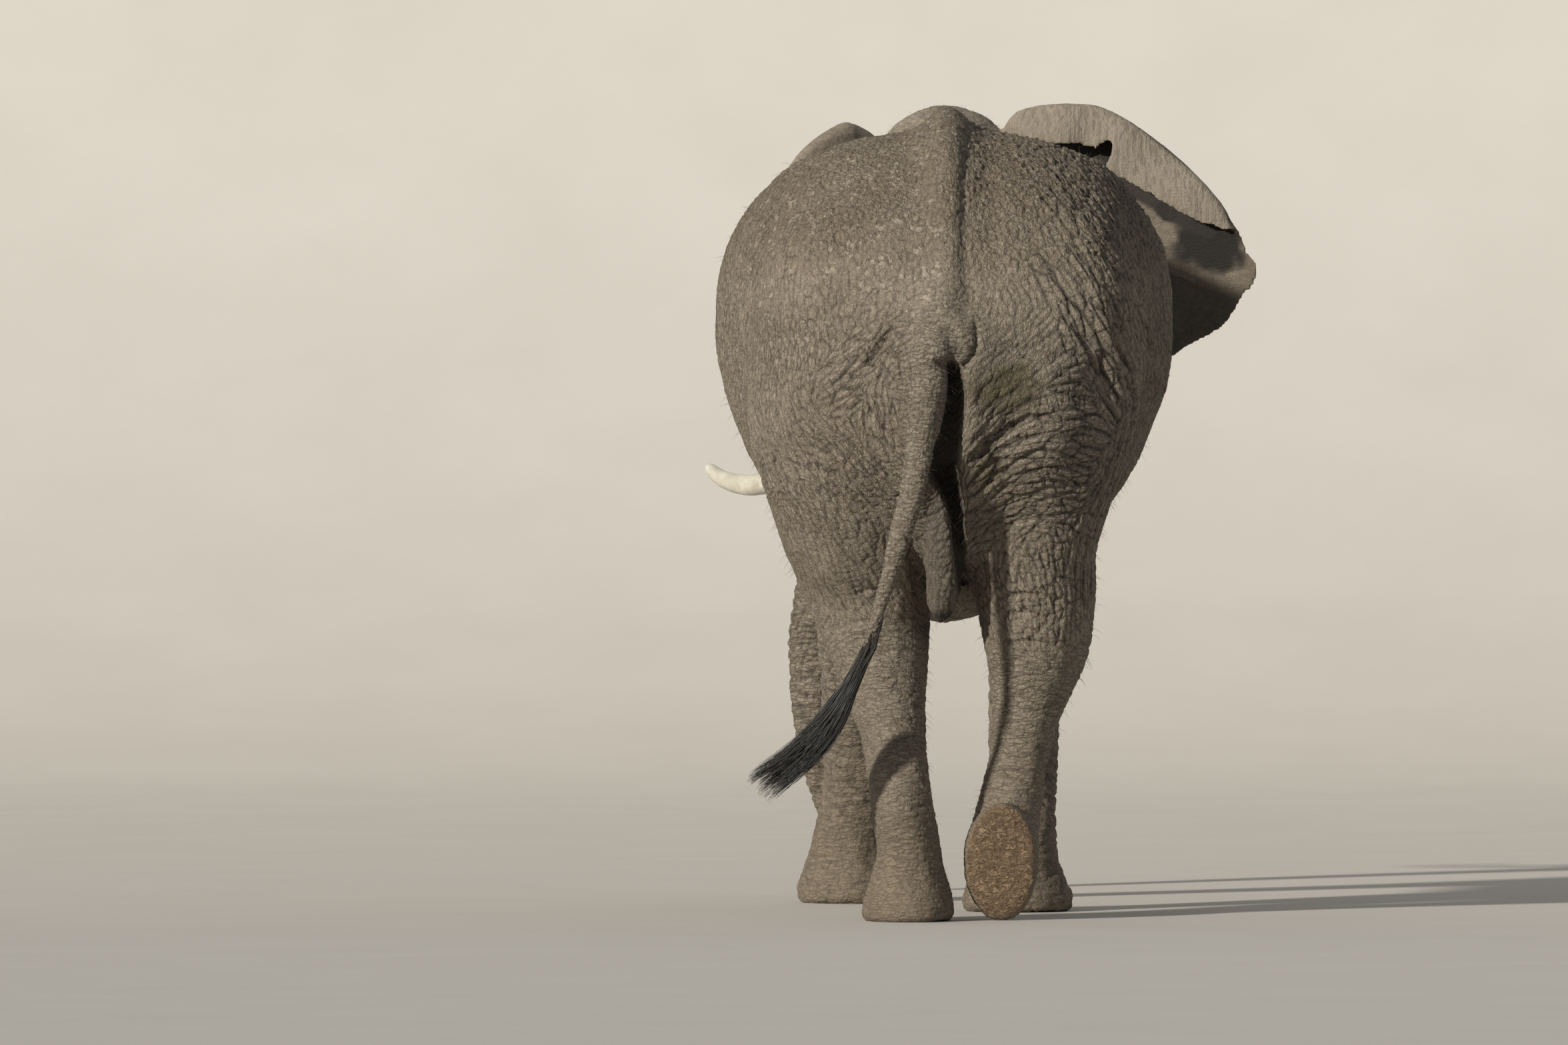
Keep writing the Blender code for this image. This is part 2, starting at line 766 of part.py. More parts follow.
def largest_shell(obj):
    """Keeps the biggest connected shell of a piece and clears slivers off it."""
    shape = bmesh.new()
    shape.from_mesh(obj.data)
    shells, seen = [], set()
    for start in shape.faces:
        if start in seen:
            continue
        shell, front = [], [start]
        seen.add(start)
        while front:
            face = front.pop()
            shell.append(face)
            for edge in face.edges:
                for other in edge.link_faces if edge.is_manifold else ():
                    if other not in seen:
                        seen.add(other)
                        front.append(other)
        shells.append(shell)
    shells.sort(key=len)
    for shell in shells[:-1]:
        bmesh.ops.delete(shape, geom=shell, context="FACES")
    bmesh.ops.dissolve_degenerate(shape, edges=shape.edges, dist=0.00002)
    bmesh.ops.dissolve_limit(
        shape, angle_limit=math.radians(0.5), verts=shape.verts, edges=shape.edges
    )
    bmesh.ops.triangulate(shape, faces=shape.faces)
    bmesh.ops.recalc_face_normals(shape, faces=shape.faces)
    shape.to_mesh(obj.data)
    shape.free()


def part_head(body):
    """The trunk in three lengths, the jaw, the head and the neck."""
    face = {"origin": (HEAD_X, HEAD_Y, 0), "turn": HEAD_ROTATION}
    lean = Matrix.Rotation(math.radians(18.4), 3, "X")
    root = {"origin": face_point(0.56, 0, 1.60), "turn": HEAD_ROTATION @ lean}
    nape = {"origin": (0, 2.05, 2.0), "turn": Matrix.Rotation(math.radians(10), 3, "X")}
    return [
        part_off(body, "trunk_lower", (-0.6, 0.42, 0.02), (0.4, 1.2, 0.62), **face),
        part_off(body, "trunk_middle", (-0.6, 0.42, 0.62), (0.4, 1.2, 1.12), **face),
        part_off(body, "trunk_upper", (-0.4, -0.19, -0.7), (0.4, 0.6, 0), **root),
        part_off(body, "lower_jaw", (-0.3, 0.08, 1.2), (0.3, 0.43, 1.60), **face),
        part_off(body, "head", (-0.6, -0.07, 1.4), (0.6, 1.2, 3.2), **face),
        part_off(body, "neck", (-0.6, 0, -0.55), (0.6, 0.9, 1.0), **nape),
    ]


def part_legs(body):
    """Each leg in two lengths and a foot."""
    thigh = {"origin": (0, 0.33, 0.87), "turn": Matrix.Rotation(0.10, 3, "X")}
    raised = {"origin": (0, 0.45, 0.86), "turn": Matrix.Rotation(0.30, 3, "X")}
    cuts = [
        ("forefoot_left", (-0.7, 1.7, -0.1), (-0.05, 2.6, 0.21), {}),
        ("foreleg_lower_left", (-0.7, 1.7, 0.21), (-0.05, 2.6, 0.64), {}),
        ("foreleg_upper_left", (-0.9, 1.40, 0.64), (-0.09, 2.3, 1.40), {}),
        ("forefoot_right", (0.02, 0.9, -0.1), (0.7, 1.7, 0.21), {}),
        ("foreleg_lower_right", (0.02, 0.9, 0.21), (0.7, 1.7, 0.62), {}),
        ("foreleg_upper_right", (0.09, 1.15, 0.62), (0.9, 2.3, 1.40), {}),
        ("hindfoot_right", (0.034, -0.05, -0.1), (0.6, 0.8, 0.36), {}),
        ("thigh_right", (0.045, -0.9, 0), (0.9, 0.29, 0.64), raised),
        ("hindleg_lower_right", (0.034, -0.05, 0.36), (0.6, 0.80, 0.945), {}),
        ("hindfoot_left", (-0.5, -0.3, -0.1), (0.2, 0.6, 0.23), {}),
        ("thigh_left", (-0.9, -0.7, 0), (-0.075, 0.31, 0.62), thigh),
        ("hindleg_lower_left", (-0.5, -0.3, 0.23), (0.0, 0.65, 0.92), {}),
    ]
    return [part_off(body, name, low, high, **frame) for name, low, high, frame in cuts]


def stand_at_origin(objects):
    """Moves everything so that the bounding box's bottom centre is the origin."""
    corners = np.array([v.co for obj in objects for v in obj.data.vertices])
    low, high = corners.min(axis=0), corners.max(axis=0)
    shift = Vector((-(low[0] + high[0]) / 2, -(low[1] + high[1]) / 2, -low[2]))
    for obj in objects:
        obj.data.transform(Matrix.Translation(shift))
        obj.data.update()


def build_elephant():
    body = joined_body()
    below_ground = region((-3, -3, -1), (3, 5, 0))
    boolean(body, "DIFFERENCE", below_ground)
    tusks = [tusk("tusk_left", 1), tusk("tusk_right", -1)]
    eyes = [eye("eye_left", 1, body), eye("eye_right", -1, body)]
    toenails = nails(body)
    whole = duplicate(body, "whole")
    flaps = list(ears())
    tail_root, tail_shaft, tail_brush = tail()
    for outer in (*flaps, tail_root):
        cut_by(outer, whole, "MANIFOLD")  # EXACT loses the thin ears altogether
        mend(outer)
    cut_by(tail_shaft, tail_root)
    cut_by(tail_brush, tail_shaft)
    bpy.data.objects.remove(whole)

    flesh = {obj.name: obj for obj in part_head(body) + part_legs(body)}
    body.name = "torso"
    for horn, ball in zip(tusks, eyes):
        cut_by(flesh["head"], horn)
        cut_by(flesh["trunk_upper"], horn)
        cut_by(flesh["head"], ball)
    for toenail in toenails:
        foot = toenail.name[len("nail_") : -2]
        cut_by(toenail, flesh[foot])

    hide = [body, *flesh.values(), *flaps, tail_root, tail_shaft]
    pieces = [*hide, *tusks, *eyes, *toenails, tail_brush]
    for obj in pieces:
        largest_shell(obj)
        obj.data.shade_smooth()
        obj.data.set_sharp_from_angle(angle=SHARP_ANGLE)
    stand_at_origin(pieces)
    looks = [
        (hide, ("hide", (0.21, 0.17, 0.12), 0.85)),
        (tusks, ("ivory", (0.40, 0.38, 0.31), 0.45)),
        (eyes, ("eye", (0.05, 0.03, 0.02), 0.15)),
        (toenails, ("nail", (0.20, 0.16, 0.11), 0.70)),
        ([tail_brush], ("hair", (0.016, 0.014, 0.011), 0.60)),
    ]
    for objects, (name, colour, roughness) in looks:
        for obj in objects:
            obj.data.materials.clear()
            obj.data.materials.append(
                finish_material(f"{name}_{obj.name}", colour, roughness)
            )


clear_scene()
build_elephant()
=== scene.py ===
"""The looks of a life-size African savanna elephant cow, walking away.

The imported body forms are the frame. One cast hide goes over them, then the eyes, tusks,
toenails, tail brush and hairs go on, and the finished model stands on a pale floor.
"""

import math

import bmesh
import bpy
import numpy as np
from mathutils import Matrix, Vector
from mathutils.bvhtree import BVHTree
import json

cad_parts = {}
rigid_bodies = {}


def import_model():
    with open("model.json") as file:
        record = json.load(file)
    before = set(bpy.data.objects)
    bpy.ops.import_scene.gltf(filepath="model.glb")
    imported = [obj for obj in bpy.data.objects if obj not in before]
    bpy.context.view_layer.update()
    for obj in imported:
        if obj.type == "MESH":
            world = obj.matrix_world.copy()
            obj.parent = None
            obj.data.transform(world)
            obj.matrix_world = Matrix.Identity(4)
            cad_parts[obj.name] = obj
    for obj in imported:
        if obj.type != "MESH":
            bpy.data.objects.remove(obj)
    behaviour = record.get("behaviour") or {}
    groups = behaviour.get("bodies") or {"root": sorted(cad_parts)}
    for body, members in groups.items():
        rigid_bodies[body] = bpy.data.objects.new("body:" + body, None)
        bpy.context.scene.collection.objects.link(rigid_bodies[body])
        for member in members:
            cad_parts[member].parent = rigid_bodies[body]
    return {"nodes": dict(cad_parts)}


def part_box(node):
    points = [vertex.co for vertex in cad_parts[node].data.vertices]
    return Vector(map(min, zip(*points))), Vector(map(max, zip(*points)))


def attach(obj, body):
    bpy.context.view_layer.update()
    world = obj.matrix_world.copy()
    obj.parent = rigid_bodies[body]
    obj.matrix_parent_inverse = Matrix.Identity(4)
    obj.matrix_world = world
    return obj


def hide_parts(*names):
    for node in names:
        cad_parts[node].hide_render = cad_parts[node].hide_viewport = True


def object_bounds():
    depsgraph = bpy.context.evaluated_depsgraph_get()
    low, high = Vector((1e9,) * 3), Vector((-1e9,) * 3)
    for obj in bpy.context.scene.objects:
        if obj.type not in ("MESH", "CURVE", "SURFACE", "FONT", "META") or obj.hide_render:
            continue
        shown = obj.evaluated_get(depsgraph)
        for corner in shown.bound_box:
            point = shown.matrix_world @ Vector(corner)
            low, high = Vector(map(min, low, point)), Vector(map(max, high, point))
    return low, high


for leftover in list(bpy.data.objects):
    bpy.data.objects.remove(leftover)
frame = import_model()
cad_low, cad_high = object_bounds()

# ---------------------------------------------------------------- ears
# Each ear is a fan of hide on thin cartilage, rooted along the side of the head. Its
# upper margin has folded over towards the rear, in two lobes that overlap, and stands a
# little off the ear's back. The sheets are laid up fine, and the cast hide takes them in.

EAR_MARGIN = [  # outwards from the root line and up from its middle, from top to bottom
    (0.00, 0.390), (0.05, 0.462), (0.14, 0.482), (0.23, 0.484), (0.315, 0.473), (0.40, 0.430),
    (0.50, 0.356), (0.58, 0.288), (0.66, 0.208), (0.715, 0.138), (0.745, 0.072), (0.795, -0.007),
    (0.816, -0.042), (0.803, -0.105), (0.760, -0.145), (0.690, -0.245), (0.547, -0.325),
    (0.44, -0.430), (0.36, -0.560), (0.27, -0.640), (0.18, -0.645), (0.09, -0.520), (0.02, -0.340),
]
# Share of the margin, and there the depth of the folded flap and its lift in degrees.
RIGHT_FLAP = [
    (0.00, 0.10, 12), (0.04, 0.135, 18), (0.10, 0.146, 22), (0.178, 0.150, 26), (0.188, 0.100, 32),
    (0.196, 0.105, 38), (0.205, 0.190, 34), (0.23, 0.188, 32), (0.27, 0.172, 30), (0.30, 0.156, 28),
    (0.34, 0.134, 24), (0.378, 0.096, 18), (0.41, 0.030, 8), (0.44, 0.00, 0),
]
LEFT_FLAP = [
    (0.00, 0.0, 6), (0.05, 0.0, 6), (0.11, 0.13, 8), (0.18, 0.17, 8), (0.28, 0.16, 8), (0.38, 0.08, 6),
    (0.47, 0.0, 0),
]
RIGHT_ROLL, LEFT_ROLL = 0.019, 0.030  # radius of the fold
EAR_COLUMNS, EAR_ROWS, FOLD_ROWS, FLAP_ROWS = 220, 80, 14, 26  # of a sheet's grid
# How much higher or lower an ear is carried than the plain margin, further and further out.
RIGHT_CARRIED = [(0.0, 0.0), (0.8, 0.0)]
LEFT_CARRIED = [
    (0.0, -0.09), (0.05, -0.13), (0.14, -0.135), (0.236, -0.115), (0.30, -0.065), (0.38, -0.008),
    (0.46, 0.010), (0.578, 0.020), (0.8, 0.03),
]
EYE_AHEAD = 0.38  # of the neck joint

eye_spots = {side: sum(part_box(f"eye_{side}"), Vector()) / 2 for side in ("left", "right")}
across = (eye_spots["right"] - eye_spots["left"]).normalized()  # to the animal's right
ahead = Vector((-across.y, across.x, 0.0))
nape = (eye_spots["right"] + eye_spots["left"]) / 2 - ahead * EYE_AHEAD


def on_head(forward, left, height):
    """A place ahead of the neck joint, to the animal's left, and over the floor."""
    place = nape + ahead * forward - across * left
    return Vector((place.x, place.y, height))


def smooth_line(rows, steps):
    """Rows of numbers with more rows between them, on a Catmull-Rom curve."""
    rows = np.array(rows, float)
    padded = np.vstack([2 * rows[0] - rows[1], rows, 2 * rows[-1] - rows[-2]])
    t = (np.arange(steps) / steps)[:, None]
    pieces = [
        0.5 * (2 * b + (c - a) * t + (2 * a - 5 * b + 4 * c - d) * t**2 + (3 * b - a - 3 * c + d) * t**3)
        for a, b, c, d in zip(padded, padded[1:], padded[2:], padded[3:])
    ]
    return np.vstack([*pieces, rows[-1:]])


def add_object(name, mesh):
    obj = bpy.data.objects.new(name, mesh)
    bpy.context.scene.collection.objects.link(obj)
    return obj


def unit(vectors, least=0.0):
    """Vectors scaled to a length of one, safe from zero lengths if least isn't 0."""
    return vectors / (np.linalg.norm(vectors, axis=-1, keepdims=True) + least)


def new_mesh(name, places, faces):
    """A mesh from an array of places and one of faces."""
    mesh = bpy.data.meshes.new(name)
    mesh.from_pydata(places.tolist(), [], faces.tolist())
    return mesh


def sheet_mesh(name, front, back):
    """A closed sheet between two grids of points, rows by columns, of the same size."""
    rows, columns = front.shape[:2]
    places = np.vstack([front.reshape(-1, 3), back.reshape(-1, 3)])
    index = np.arange(rows * columns).reshape(rows, columns)
    quads = np.stack([index[:-1, :-1], index[1:, :-1], index[1:, 1:], index[:-1, 1:]], -1)
    rim = np.concatenate([index[0], index[1:, -1], index[-1, -2::-1], index[-2:0:-1, 0]])
    sides = np.stack([rim, np.roll(rim, -1), np.roll(rim, -1) + index.size, rim + index.size], -1)
    faces = np.vstack([quads.reshape(-1, 4), quads.reshape(-1, 4)[:, ::-1] + index.size, sides[:, ::-1]])
    return new_mesh(name, places, faces)


def ear_sheet(name, root_top, root_bottom, directions, carried, cup, flap, roll):
    """The ear's middle surface from root to margin, over the fold and down the flap, with
    radiating veins and a rippled margin, given its thickness."""
    line = smooth_line(EAR_MARGIN, 8)
    length = np.concatenate([[0], np.cumsum(np.linalg.norm(np.diff(line, axis=0), axis=1))])
    share = np.linspace(0, 1, EAR_COLUMNS)
    out = np.interp(share * length[-1], length, line[:, 0])
    high = np.interp(share * length[-1], length, line[:, 1])
    high = high + np.interp(out, *np.array(carried).T) * np.clip(high / 0.3, 0, 1)
    flap = np.array(flap)
    depth = np.interp(share, flap[:, 0], flap[:, 1])
    lift = np.radians(np.interp(share, flap[:, 0], flap[:, 2]))
    root_top, root_bottom = np.array(root_top), np.array(root_bottom)
    outwards, rearwards = np.array(directions)
    upwards = (root_top - root_bottom) / np.linalg.norm(root_top - root_bottom)
    start = root_top + (root_bottom - root_top) * share[:, None]
    end = (root_top + root_bottom) / 2 + outwards * out[:, None] + upwards * high[:, None]

    def surface(reach):
        bow = np.sin(np.pi * np.minimum(reach, 1) * 0.9) * np.sin(np.pi * share)
        ripple = 0.016 * reach**2 * np.sin(17 * share + 1.0)
        ripple += 0.006 * reach**4 * np.sin(61 * share + 2 * np.sin(9 * share))
        vein = np.abs(np.sin(38 * share + 2.2 * reach + np.sin(5 * reach + 11 * share)))
        ripple += 0.0035 * (1 - vein) ** 3 * np.sin(np.pi * min(reach, 1))
        return start + (end - start) * reach + rearwards * (cup * bow + ripple)[:, None]

    span = np.linalg.norm(end - start, axis=1)
    folded = np.clip(depth / 0.06, 0, 1)
    spare = np.minimum(roll * 1.2 * folded / span, 0.5)
    path = []
    for reach in np.linspace(0, 1, EAR_ROWS):
        path.append(start + (surface(reach) - start) * (1 - spare * reach)[:, None])
    over = np.cross(np.gradient(path[-1], axis=0), rearwards)
    over = unit(over * np.sign((over * (path[-1] - path[-3])).sum()))
    place = path[-1]
    for step in range(FOLD_ROWS):
        angle = (np.pi - lift) * folded * (step + 0.5) / FOLD_ROWS
        stride = roll * np.pi / FOLD_ROWS * np.maximum(folded, 0.02)
        place = place + (over * np.cos(angle)[:, None] + rearwards * np.sin(angle)[:, None]) * stride[:, None]
        path.append(place)
    for step in range(FLAP_ROWS):
        share_down = (step + 0.5) / FLAP_ROWS
        wave = 0.16 * np.sin(70 * share + 4 * np.sin(13 * share)) * share_down
        angle = (np.pi - lift * (1 - 1.1 * share_down) + wave) * folded
        stride = np.maximum(depth - roll, 0.002) / FLAP_ROWS
        place = place + (over * np.cos(angle)[:, None] + rearwards * np.sin(angle)[:, None]) * stride[:, None]
        path.append(place)
    middle = np.array(path)
    square = unit(np.cross(np.gradient(middle, axis=1), np.gradient(middle, axis=0)), 1e-12)
    steps = np.linspace(0, 1, len(middle))[:, None, None]
    half = 0.0085 - 0.0030 * steps
    return sheet_mesh(name, middle + square * half, middle - square * half)


def ear_grid(sheet):
    """The front face of an ear's sheet, as rows of places from root to free edge."""
    return mesh_arrays(sheet)[0].reshape(2, -1, EAR_COLUMNS, 3)[0]


def ear_directions(bearing, side):
    """An ear's way outwards, turned back from straight out, and its rear face's way."""
    turn = math.radians(bearing)
    out = Vector((math.cos(turn) * side, -math.sin(turn), 0))
    return out, Vector((out.y, -out.x, 0)) * side


right_ear = ear_sheet(
    "right_ear", on_head(0.00, -0.17, 2.43), on_head(0.04, -0.21, 1.81),
    ear_directions(10, 1), RIGHT_CARRIED, -0.05, RIGHT_FLAP, RIGHT_ROLL,
)
left_ear = ear_sheet(
    "left_ear", on_head(0.00, 0.18, 2.41), on_head(0.04, 0.22, 1.79),
    ear_directions(47, -1), LEFT_CARRIED, -0.04, LEFT_FLAP, LEFT_ROLL,
)

# ---------------------------------------------------------------- the blank of the hide
# The hide is one sheet of cast rubber skin drawn over all the body forms at once, so that
# no seam shows where head, ears, legs and tail meet the barrel. It starts as a plain
# smooth cast, evened most on the broad back and least on the thin ears and tail.

CAST_CELL = 0.0094
FORMS = [
    name
    for name in frame["nodes"]
    if not name.startswith(("eye_", "tusk_", "nail_", "tail_brush"))
]
SWELL = 0.0008  # closes the hairline gaps between the forms


def mesh_arrays(mesh):
    """A mesh's vertices, vertex normals and edges, as arrays."""
    places = np.empty(len(mesh.vertices) * 3)
    normals = np.empty(len(mesh.vertices) * 3)
    edges = np.empty(len(mesh.edges) * 2, np.int64)
    mesh.vertices.foreach_get("co", places)
    mesh.vertex_normals.foreach_get("vector", normals)
    mesh.edges.foreach_get("vertices", edges)
    return places.reshape(-1, 3), normals.reshape(-1, 3), edges.reshape(-1, 2)


def triangles(mesh):
    mesh.calc_loop_triangles()
    corners = np.empty(len(mesh.loop_triangles) * 3, np.int64)
    mesh.loop_triangles.foreach_get("vertices", corners)
    return corners.reshape(-1, 3)


def evaluated(obj):
    """Gives an object the mesh that its modifiers make of it, and drops them."""
    graph = bpy.context.evaluated_depsgraph_get()
    mesh = bpy.data.meshes.new_from_object(obj.evaluated_get(graph))
    obj.modifiers.clear()
    obj.data = mesh
    return obj


def together(name, meshes, swell=0.0):
    """Several meshes as one, each swollen along its normals."""
    places, faces, count = [], [], 0
    for mesh in meshes:
        own, normals, _ = mesh_arrays(mesh)
        places.append(own + normals * swell)
        faces.append(triangles(mesh) + count)
        count += len(own)
    return new_mesh(name, np.vstack(places), np.vstack(faces))


def recast(obj, cell):
    """Remeshes overlapping shells into one closed shell of even little faces."""
    cast = obj.modifiers.new("cast", "REMESH")
    cast.mode = "VOXEL"
    cast.voxel_size = cell
    return evaluated(obj)


def outer_shell(mesh):
    """Drops any inner walls between forms, and keeps the one shell that shows."""
    _, _, edges = mesh_arrays(mesh)
    shell = np.arange(len(mesh.vertices))
    while True:
        least = np.minimum(shell[edges[:, 0]], shell[edges[:, 1]])
        merged = shell.copy()
        np.minimum.at(merged, edges[:, 0], least)
        np.minimum.at(merged, edges[:, 1], least)
        merged = merged[merged]
        if (merged == shell).all():
            break
        shell = merged
    stray = np.flatnonzero(shell != np.bincount(shell).argmax())
    if len(stray):
        shape = bmesh.new()
        shape.from_mesh(mesh)
        shape.verts.ensure_lookup_table()
        bmesh.ops.delete(shape, geom=[shape.verts[i] for i in stray], context="VERTS")
        shape.to_mesh(mesh)
        shape.free()


solid_forms = [frame["nodes"][name].data for name in FORMS if not name.startswith("ear_")]
blank = [together("forms", solid_forms, SWELL), right_ear, left_ear]
hide = recast(add_object("hide", together("hide", blank)), CAST_CELL)
outer_shell(hide.data)
skin, outwards_of, edges = mesh_arrays(hide.data)


def neighbour_mean(values, links):
    """Each vertex's mean over the vertices that it shares an edge with."""
    one, two = links.T
    size = len(values)
    count = np.bincount(one, minlength=size) + np.bincount(two, minlength=size)
    total = [np.bincount(one, c[two], size) + np.bincount(two, c[one], size) for c in values.T]
    return np.array(total).T / count[:, None]


def evened(values, share, rounds, links):
    """Lets values settle towards their neighbours', a share of the way each round."""
    for _ in range(rounds):
        values = values + (neighbour_mean(values, links) - values) * share
    return values


def step_up(values, low, high):
    """0 below low and 1 above high, with a smooth step between."""
    t = np.clip((values - low) / (high - low), 0.0, 1.0)
    return t * t * (3 - 2 * t)


def near_box(name, soft):
    """1 inside a form's box, falling to 0 a soft margin outside it."""
    low, high = (np.array(corner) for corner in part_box(name))
    inside = np.minimum(skin - low, high - skin).min(axis=1)
    return step_up(inside, -soft, 0.0)


def near_mesh(mesh, reach):
    """1 on a mesh's own surface, falling to 0 at the given distance from it."""
    places = mesh_arrays(mesh)[0]
    tree = BVHTree.FromPolygons(places.tolist(), triangles(mesh).tolist())
    around = (skin > places.min(axis=0) - reach) & (skin < places.max(axis=0) + reach)
    result = np.zeros(len(skin))
    for i in np.flatnonzero(around.all(axis=1)):
        found = tree.find_nearest(Vector(skin[i]), reach)
        result[i] = 0.0 if found[0] is None else 1 - found[3] / reach
    return step_up(result, 0.0, 0.6)


def find_masks():
    """How much each vertex belongs to the ears, and to the free part of the tail."""
    global ear_mask, tail_mask
    ear_mask = np.maximum(near_mesh(right_ear, 0.02), near_mesh(left_ear, 0.02))
    root_mask = near_box("tail_root", 0.02) * step_up(-skin[:, 1], 1.985, 2.015)
    tail_mask = np.maximum(near_box("tail_shaft", 0.02), root_mask)


def dress():
    """Puts the worked places on the hide's mesh, and reads its new normals."""
    global outwards_of
    hide.data.vertices.foreach_set("co", skin.ravel())
    hide.data.update()
    outwards_of = mesh_arrays(hide.data)[1]


find_masks()
broad = step_up(skin[:, 2], 1.00, 1.45) * (1 - 0.6 * near_box("head", 0.1))
share = (0.10 + 0.36 * broad) * (1 - 0.93 * ear_mask) * (1 - 0.7 * tail_mask)
skin = evened(skin, share[:, None], 50, edges)
dress()

# ---------------------------------------------------------------- camera
# A long lens looks along the animal's track from some seventy metres behind, with the
# horizon near the height of its back.

FOCAL_LENGTH, SENSOR = 507.3, 36.0  # millimetres
STAND_OFF, EYE_LEVEL = 70.0, 2.2  # behind the heel, and over the floor
LOOK_DOWN, LOOK_LEFT = 0.762, 0.4218  # degrees

low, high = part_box("torso")
midline = (low.x + high.x) / 2 + 0.009
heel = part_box("hindfoot_left")[0].y - 0.006
lens = bpy.data.cameras.new("long_lens")
lens.lens = FOCAL_LENGTH
lens.sensor_width = SENSOR
lens.clip_end = 200.0
camera = add_object("camera", lens)
camera.location = (midline, heel - STAND_OFF, EYE_LEVEL)
camera.rotation_euler = (math.radians(90 - LOOK_DOWN), 0.0, math.radians(LOOK_LEFT))
bpy.context.scene.camera = camera

# ---------------------------------------------------------------- the body's lesser forms
# Before any fold is cut, the cast is worked with broad tools: the sharp spine and the
# hollows beside it, the knot at the tail's root, the cleft under the tail with its
# hanging flap, the muscles of the thighs, the folds of the right flank by the hip, and the bones of the face.

surface = BVHTree.FromObject(hide, bpy.context.evaluated_depsgraph_get())


def cast_ray(start, direction):
    """Where a line from outside meets the hide."""
    start, direction = Vector(start), Vector(direction).normalized()
    place, _, _, _ = surface.ray_cast(start, direction)
    if place is None:
        place, _, _, _ = surface.find_nearest(start + direction)
    return tuple(place)


def rear(*marks):
    """Points on the rump and hind legs, each so far right of the midline and so high."""
    return [cast_ray((midline + a, low.y - 0.6, h), (0, 1, 0)) for a, h in marks]


def flank(side, *marks):
    """Points on one side, -1 left or 1 right, each so far ahead of the heel and so high."""
    return [cast_ray((midline + side * 2, heel + a, h), (-side, 0, 0)) for a, h in marks]


def crown(*marks):
    """Points on the back, each so far right of the midline and so far ahead of the heel."""
    return [cast_ray((midline + a, heel + b, 3.5), (0, 0, -1)) for a, b in marks]


def face(side, *marks):
    """Points on the side of the head, each so far ahead of the neck joint and so high."""
    way = across * -side
    return [cast_ray(on_head(f, -side, h), way) for f, h in marks]


def distance_to(line, places):
    """Each place's distance to a line of points, and how far along the line it lies."""
    line = np.array(line, float)
    best, share = np.full(len(places), 9.0), np.zeros(len(places))
    low, high = line.min(axis=0) - 0.4, line.max(axis=0) + 0.4
    near = np.flatnonzero(((places > low) & (places < high)).all(axis=1))
    points = places[near]
    for number, (a, b) in enumerate(zip(line, line[1:])):
        span = b - a
        t = np.clip((points - a) @ span / (span @ span), 0, 1)
        away = np.linalg.norm(points - a - t[:, None] * span, axis=1)
        closer = away < best[near]
        best[near[closer]] = away[closer]
        share[near[closer]] = (number + t[closer]) / (len(line) - 1)
    return best, share


def work(line, radius, lift, sharp=2.0, ends=0.15):
    """Raises a ridge along a line, or cuts a groove, that dies away towards its ends."""
    global skin
    away, share = distance_to(smooth_line(line, 6), skin)
    fade = 0.15 + 0.85 * np.clip(np.minimum(share, 1 - share) / ends, 0, 1)
    skin = skin + outwards_of * (lift * fade * np.exp(-((away / radius) ** sharp)))[:, None]


def dab(place, radius, lift, sharp=2.0):
    """Raises or presses in one round spot."""
    global skin
    away = np.linalg.norm(skin - np.array(place), axis=1)
    skin = skin + outwards_of * (lift * np.exp(-((away / radius) ** sharp)))[:, None]


def cut_share(marks, sharp, front):
    """How far each vertex lies in a slot cut straight forwards into the rump, between
    steep walls, along marks right of the midline, up, and the slot's half width there.
    Leaves alone the tail that hangs behind it and all that lies ahead of a place."""
    rows = smooth_line([(midline + a, low.y, h, r) for a, h, r in marks], 6)
    away, along = distance_to(rows[:, :3], skin * (1, 0, 1) + (0, low.y, 0))
    half = np.interp(along, np.linspace(0, 1, len(rows)), rows[:, 3])
    hanging = distance_to(smooth_line(axis_of("tail_root", "tail_shaft"), 4), skin)[0]
    share = np.exp(-((away / half) ** sharp)) * step_up(hanging, 0.052, 0.064)
    return share * step_up(front - skin[:, 1], 0.0, 0.05) * step_up(-outwards_of[:, 1], -0.3, 0.1)


def axis_of(*names):
    """A line down through the middles of limb pieces, for folds that go round them."""
    line = []
    for name in names:
        places = mesh_arrays(frame["nodes"][name].data)[0]
        top, bottom = places[:, 2].max(), places[:, 2].min()
        for share in (0.9, 0.5, 0.1):
            level = bottom + (top - bottom) * share
            band = places[np.abs(places[:, 2] - level) < (top - bottom) * 0.3]
            line.append((*((band.max(axis=0)[:2] + band.min(axis=0)[:2]) / 2), level))
    return line


# The spine, from the loin to the tail: soft on the left, with a sharp drop on the right.
work(rear((0.0, 2.58), (0.0, 2.45), (0.002, 2.3), (0.004, 2.15), (0.0, 2.0)), 0.042, 0.015)
work(rear((0.058, 2.50), (0.058, 2.35), (0.060, 2.2), (0.062, 2.08), (0.075, 1.97)), 0.020, -0.013)
work(rear((0.12, 2.45), (0.13, 2.3), (0.14, 2.15), (0.15, 2.0)), 0.060, -0.010)
work(rear((-0.09, 2.45), (-0.10, 2.3), (-0.11, 2.15), (-0.13, 2.0)), 0.050, -0.008)
work(crown((0.0, 0.3), (0.0, 0.6), (0.0, 1.0), (0.0, 1.5)), 0.040, 0.008)
# The tail's broad root swells out of the spine, with a knot at its right.
work(rear((-0.005, 2.06), (-0.02, 1.97), (-0.04, 1.88), (-0.06, 1.80), (-0.07, 1.74)), 0.066, 0.026, 3.0)
dab(rear((0.052, 1.892))[0], 0.036, 0.011, 3.0)
dab(rear((0.046, 1.836))[0], 0.036, 0.015, 3.0)
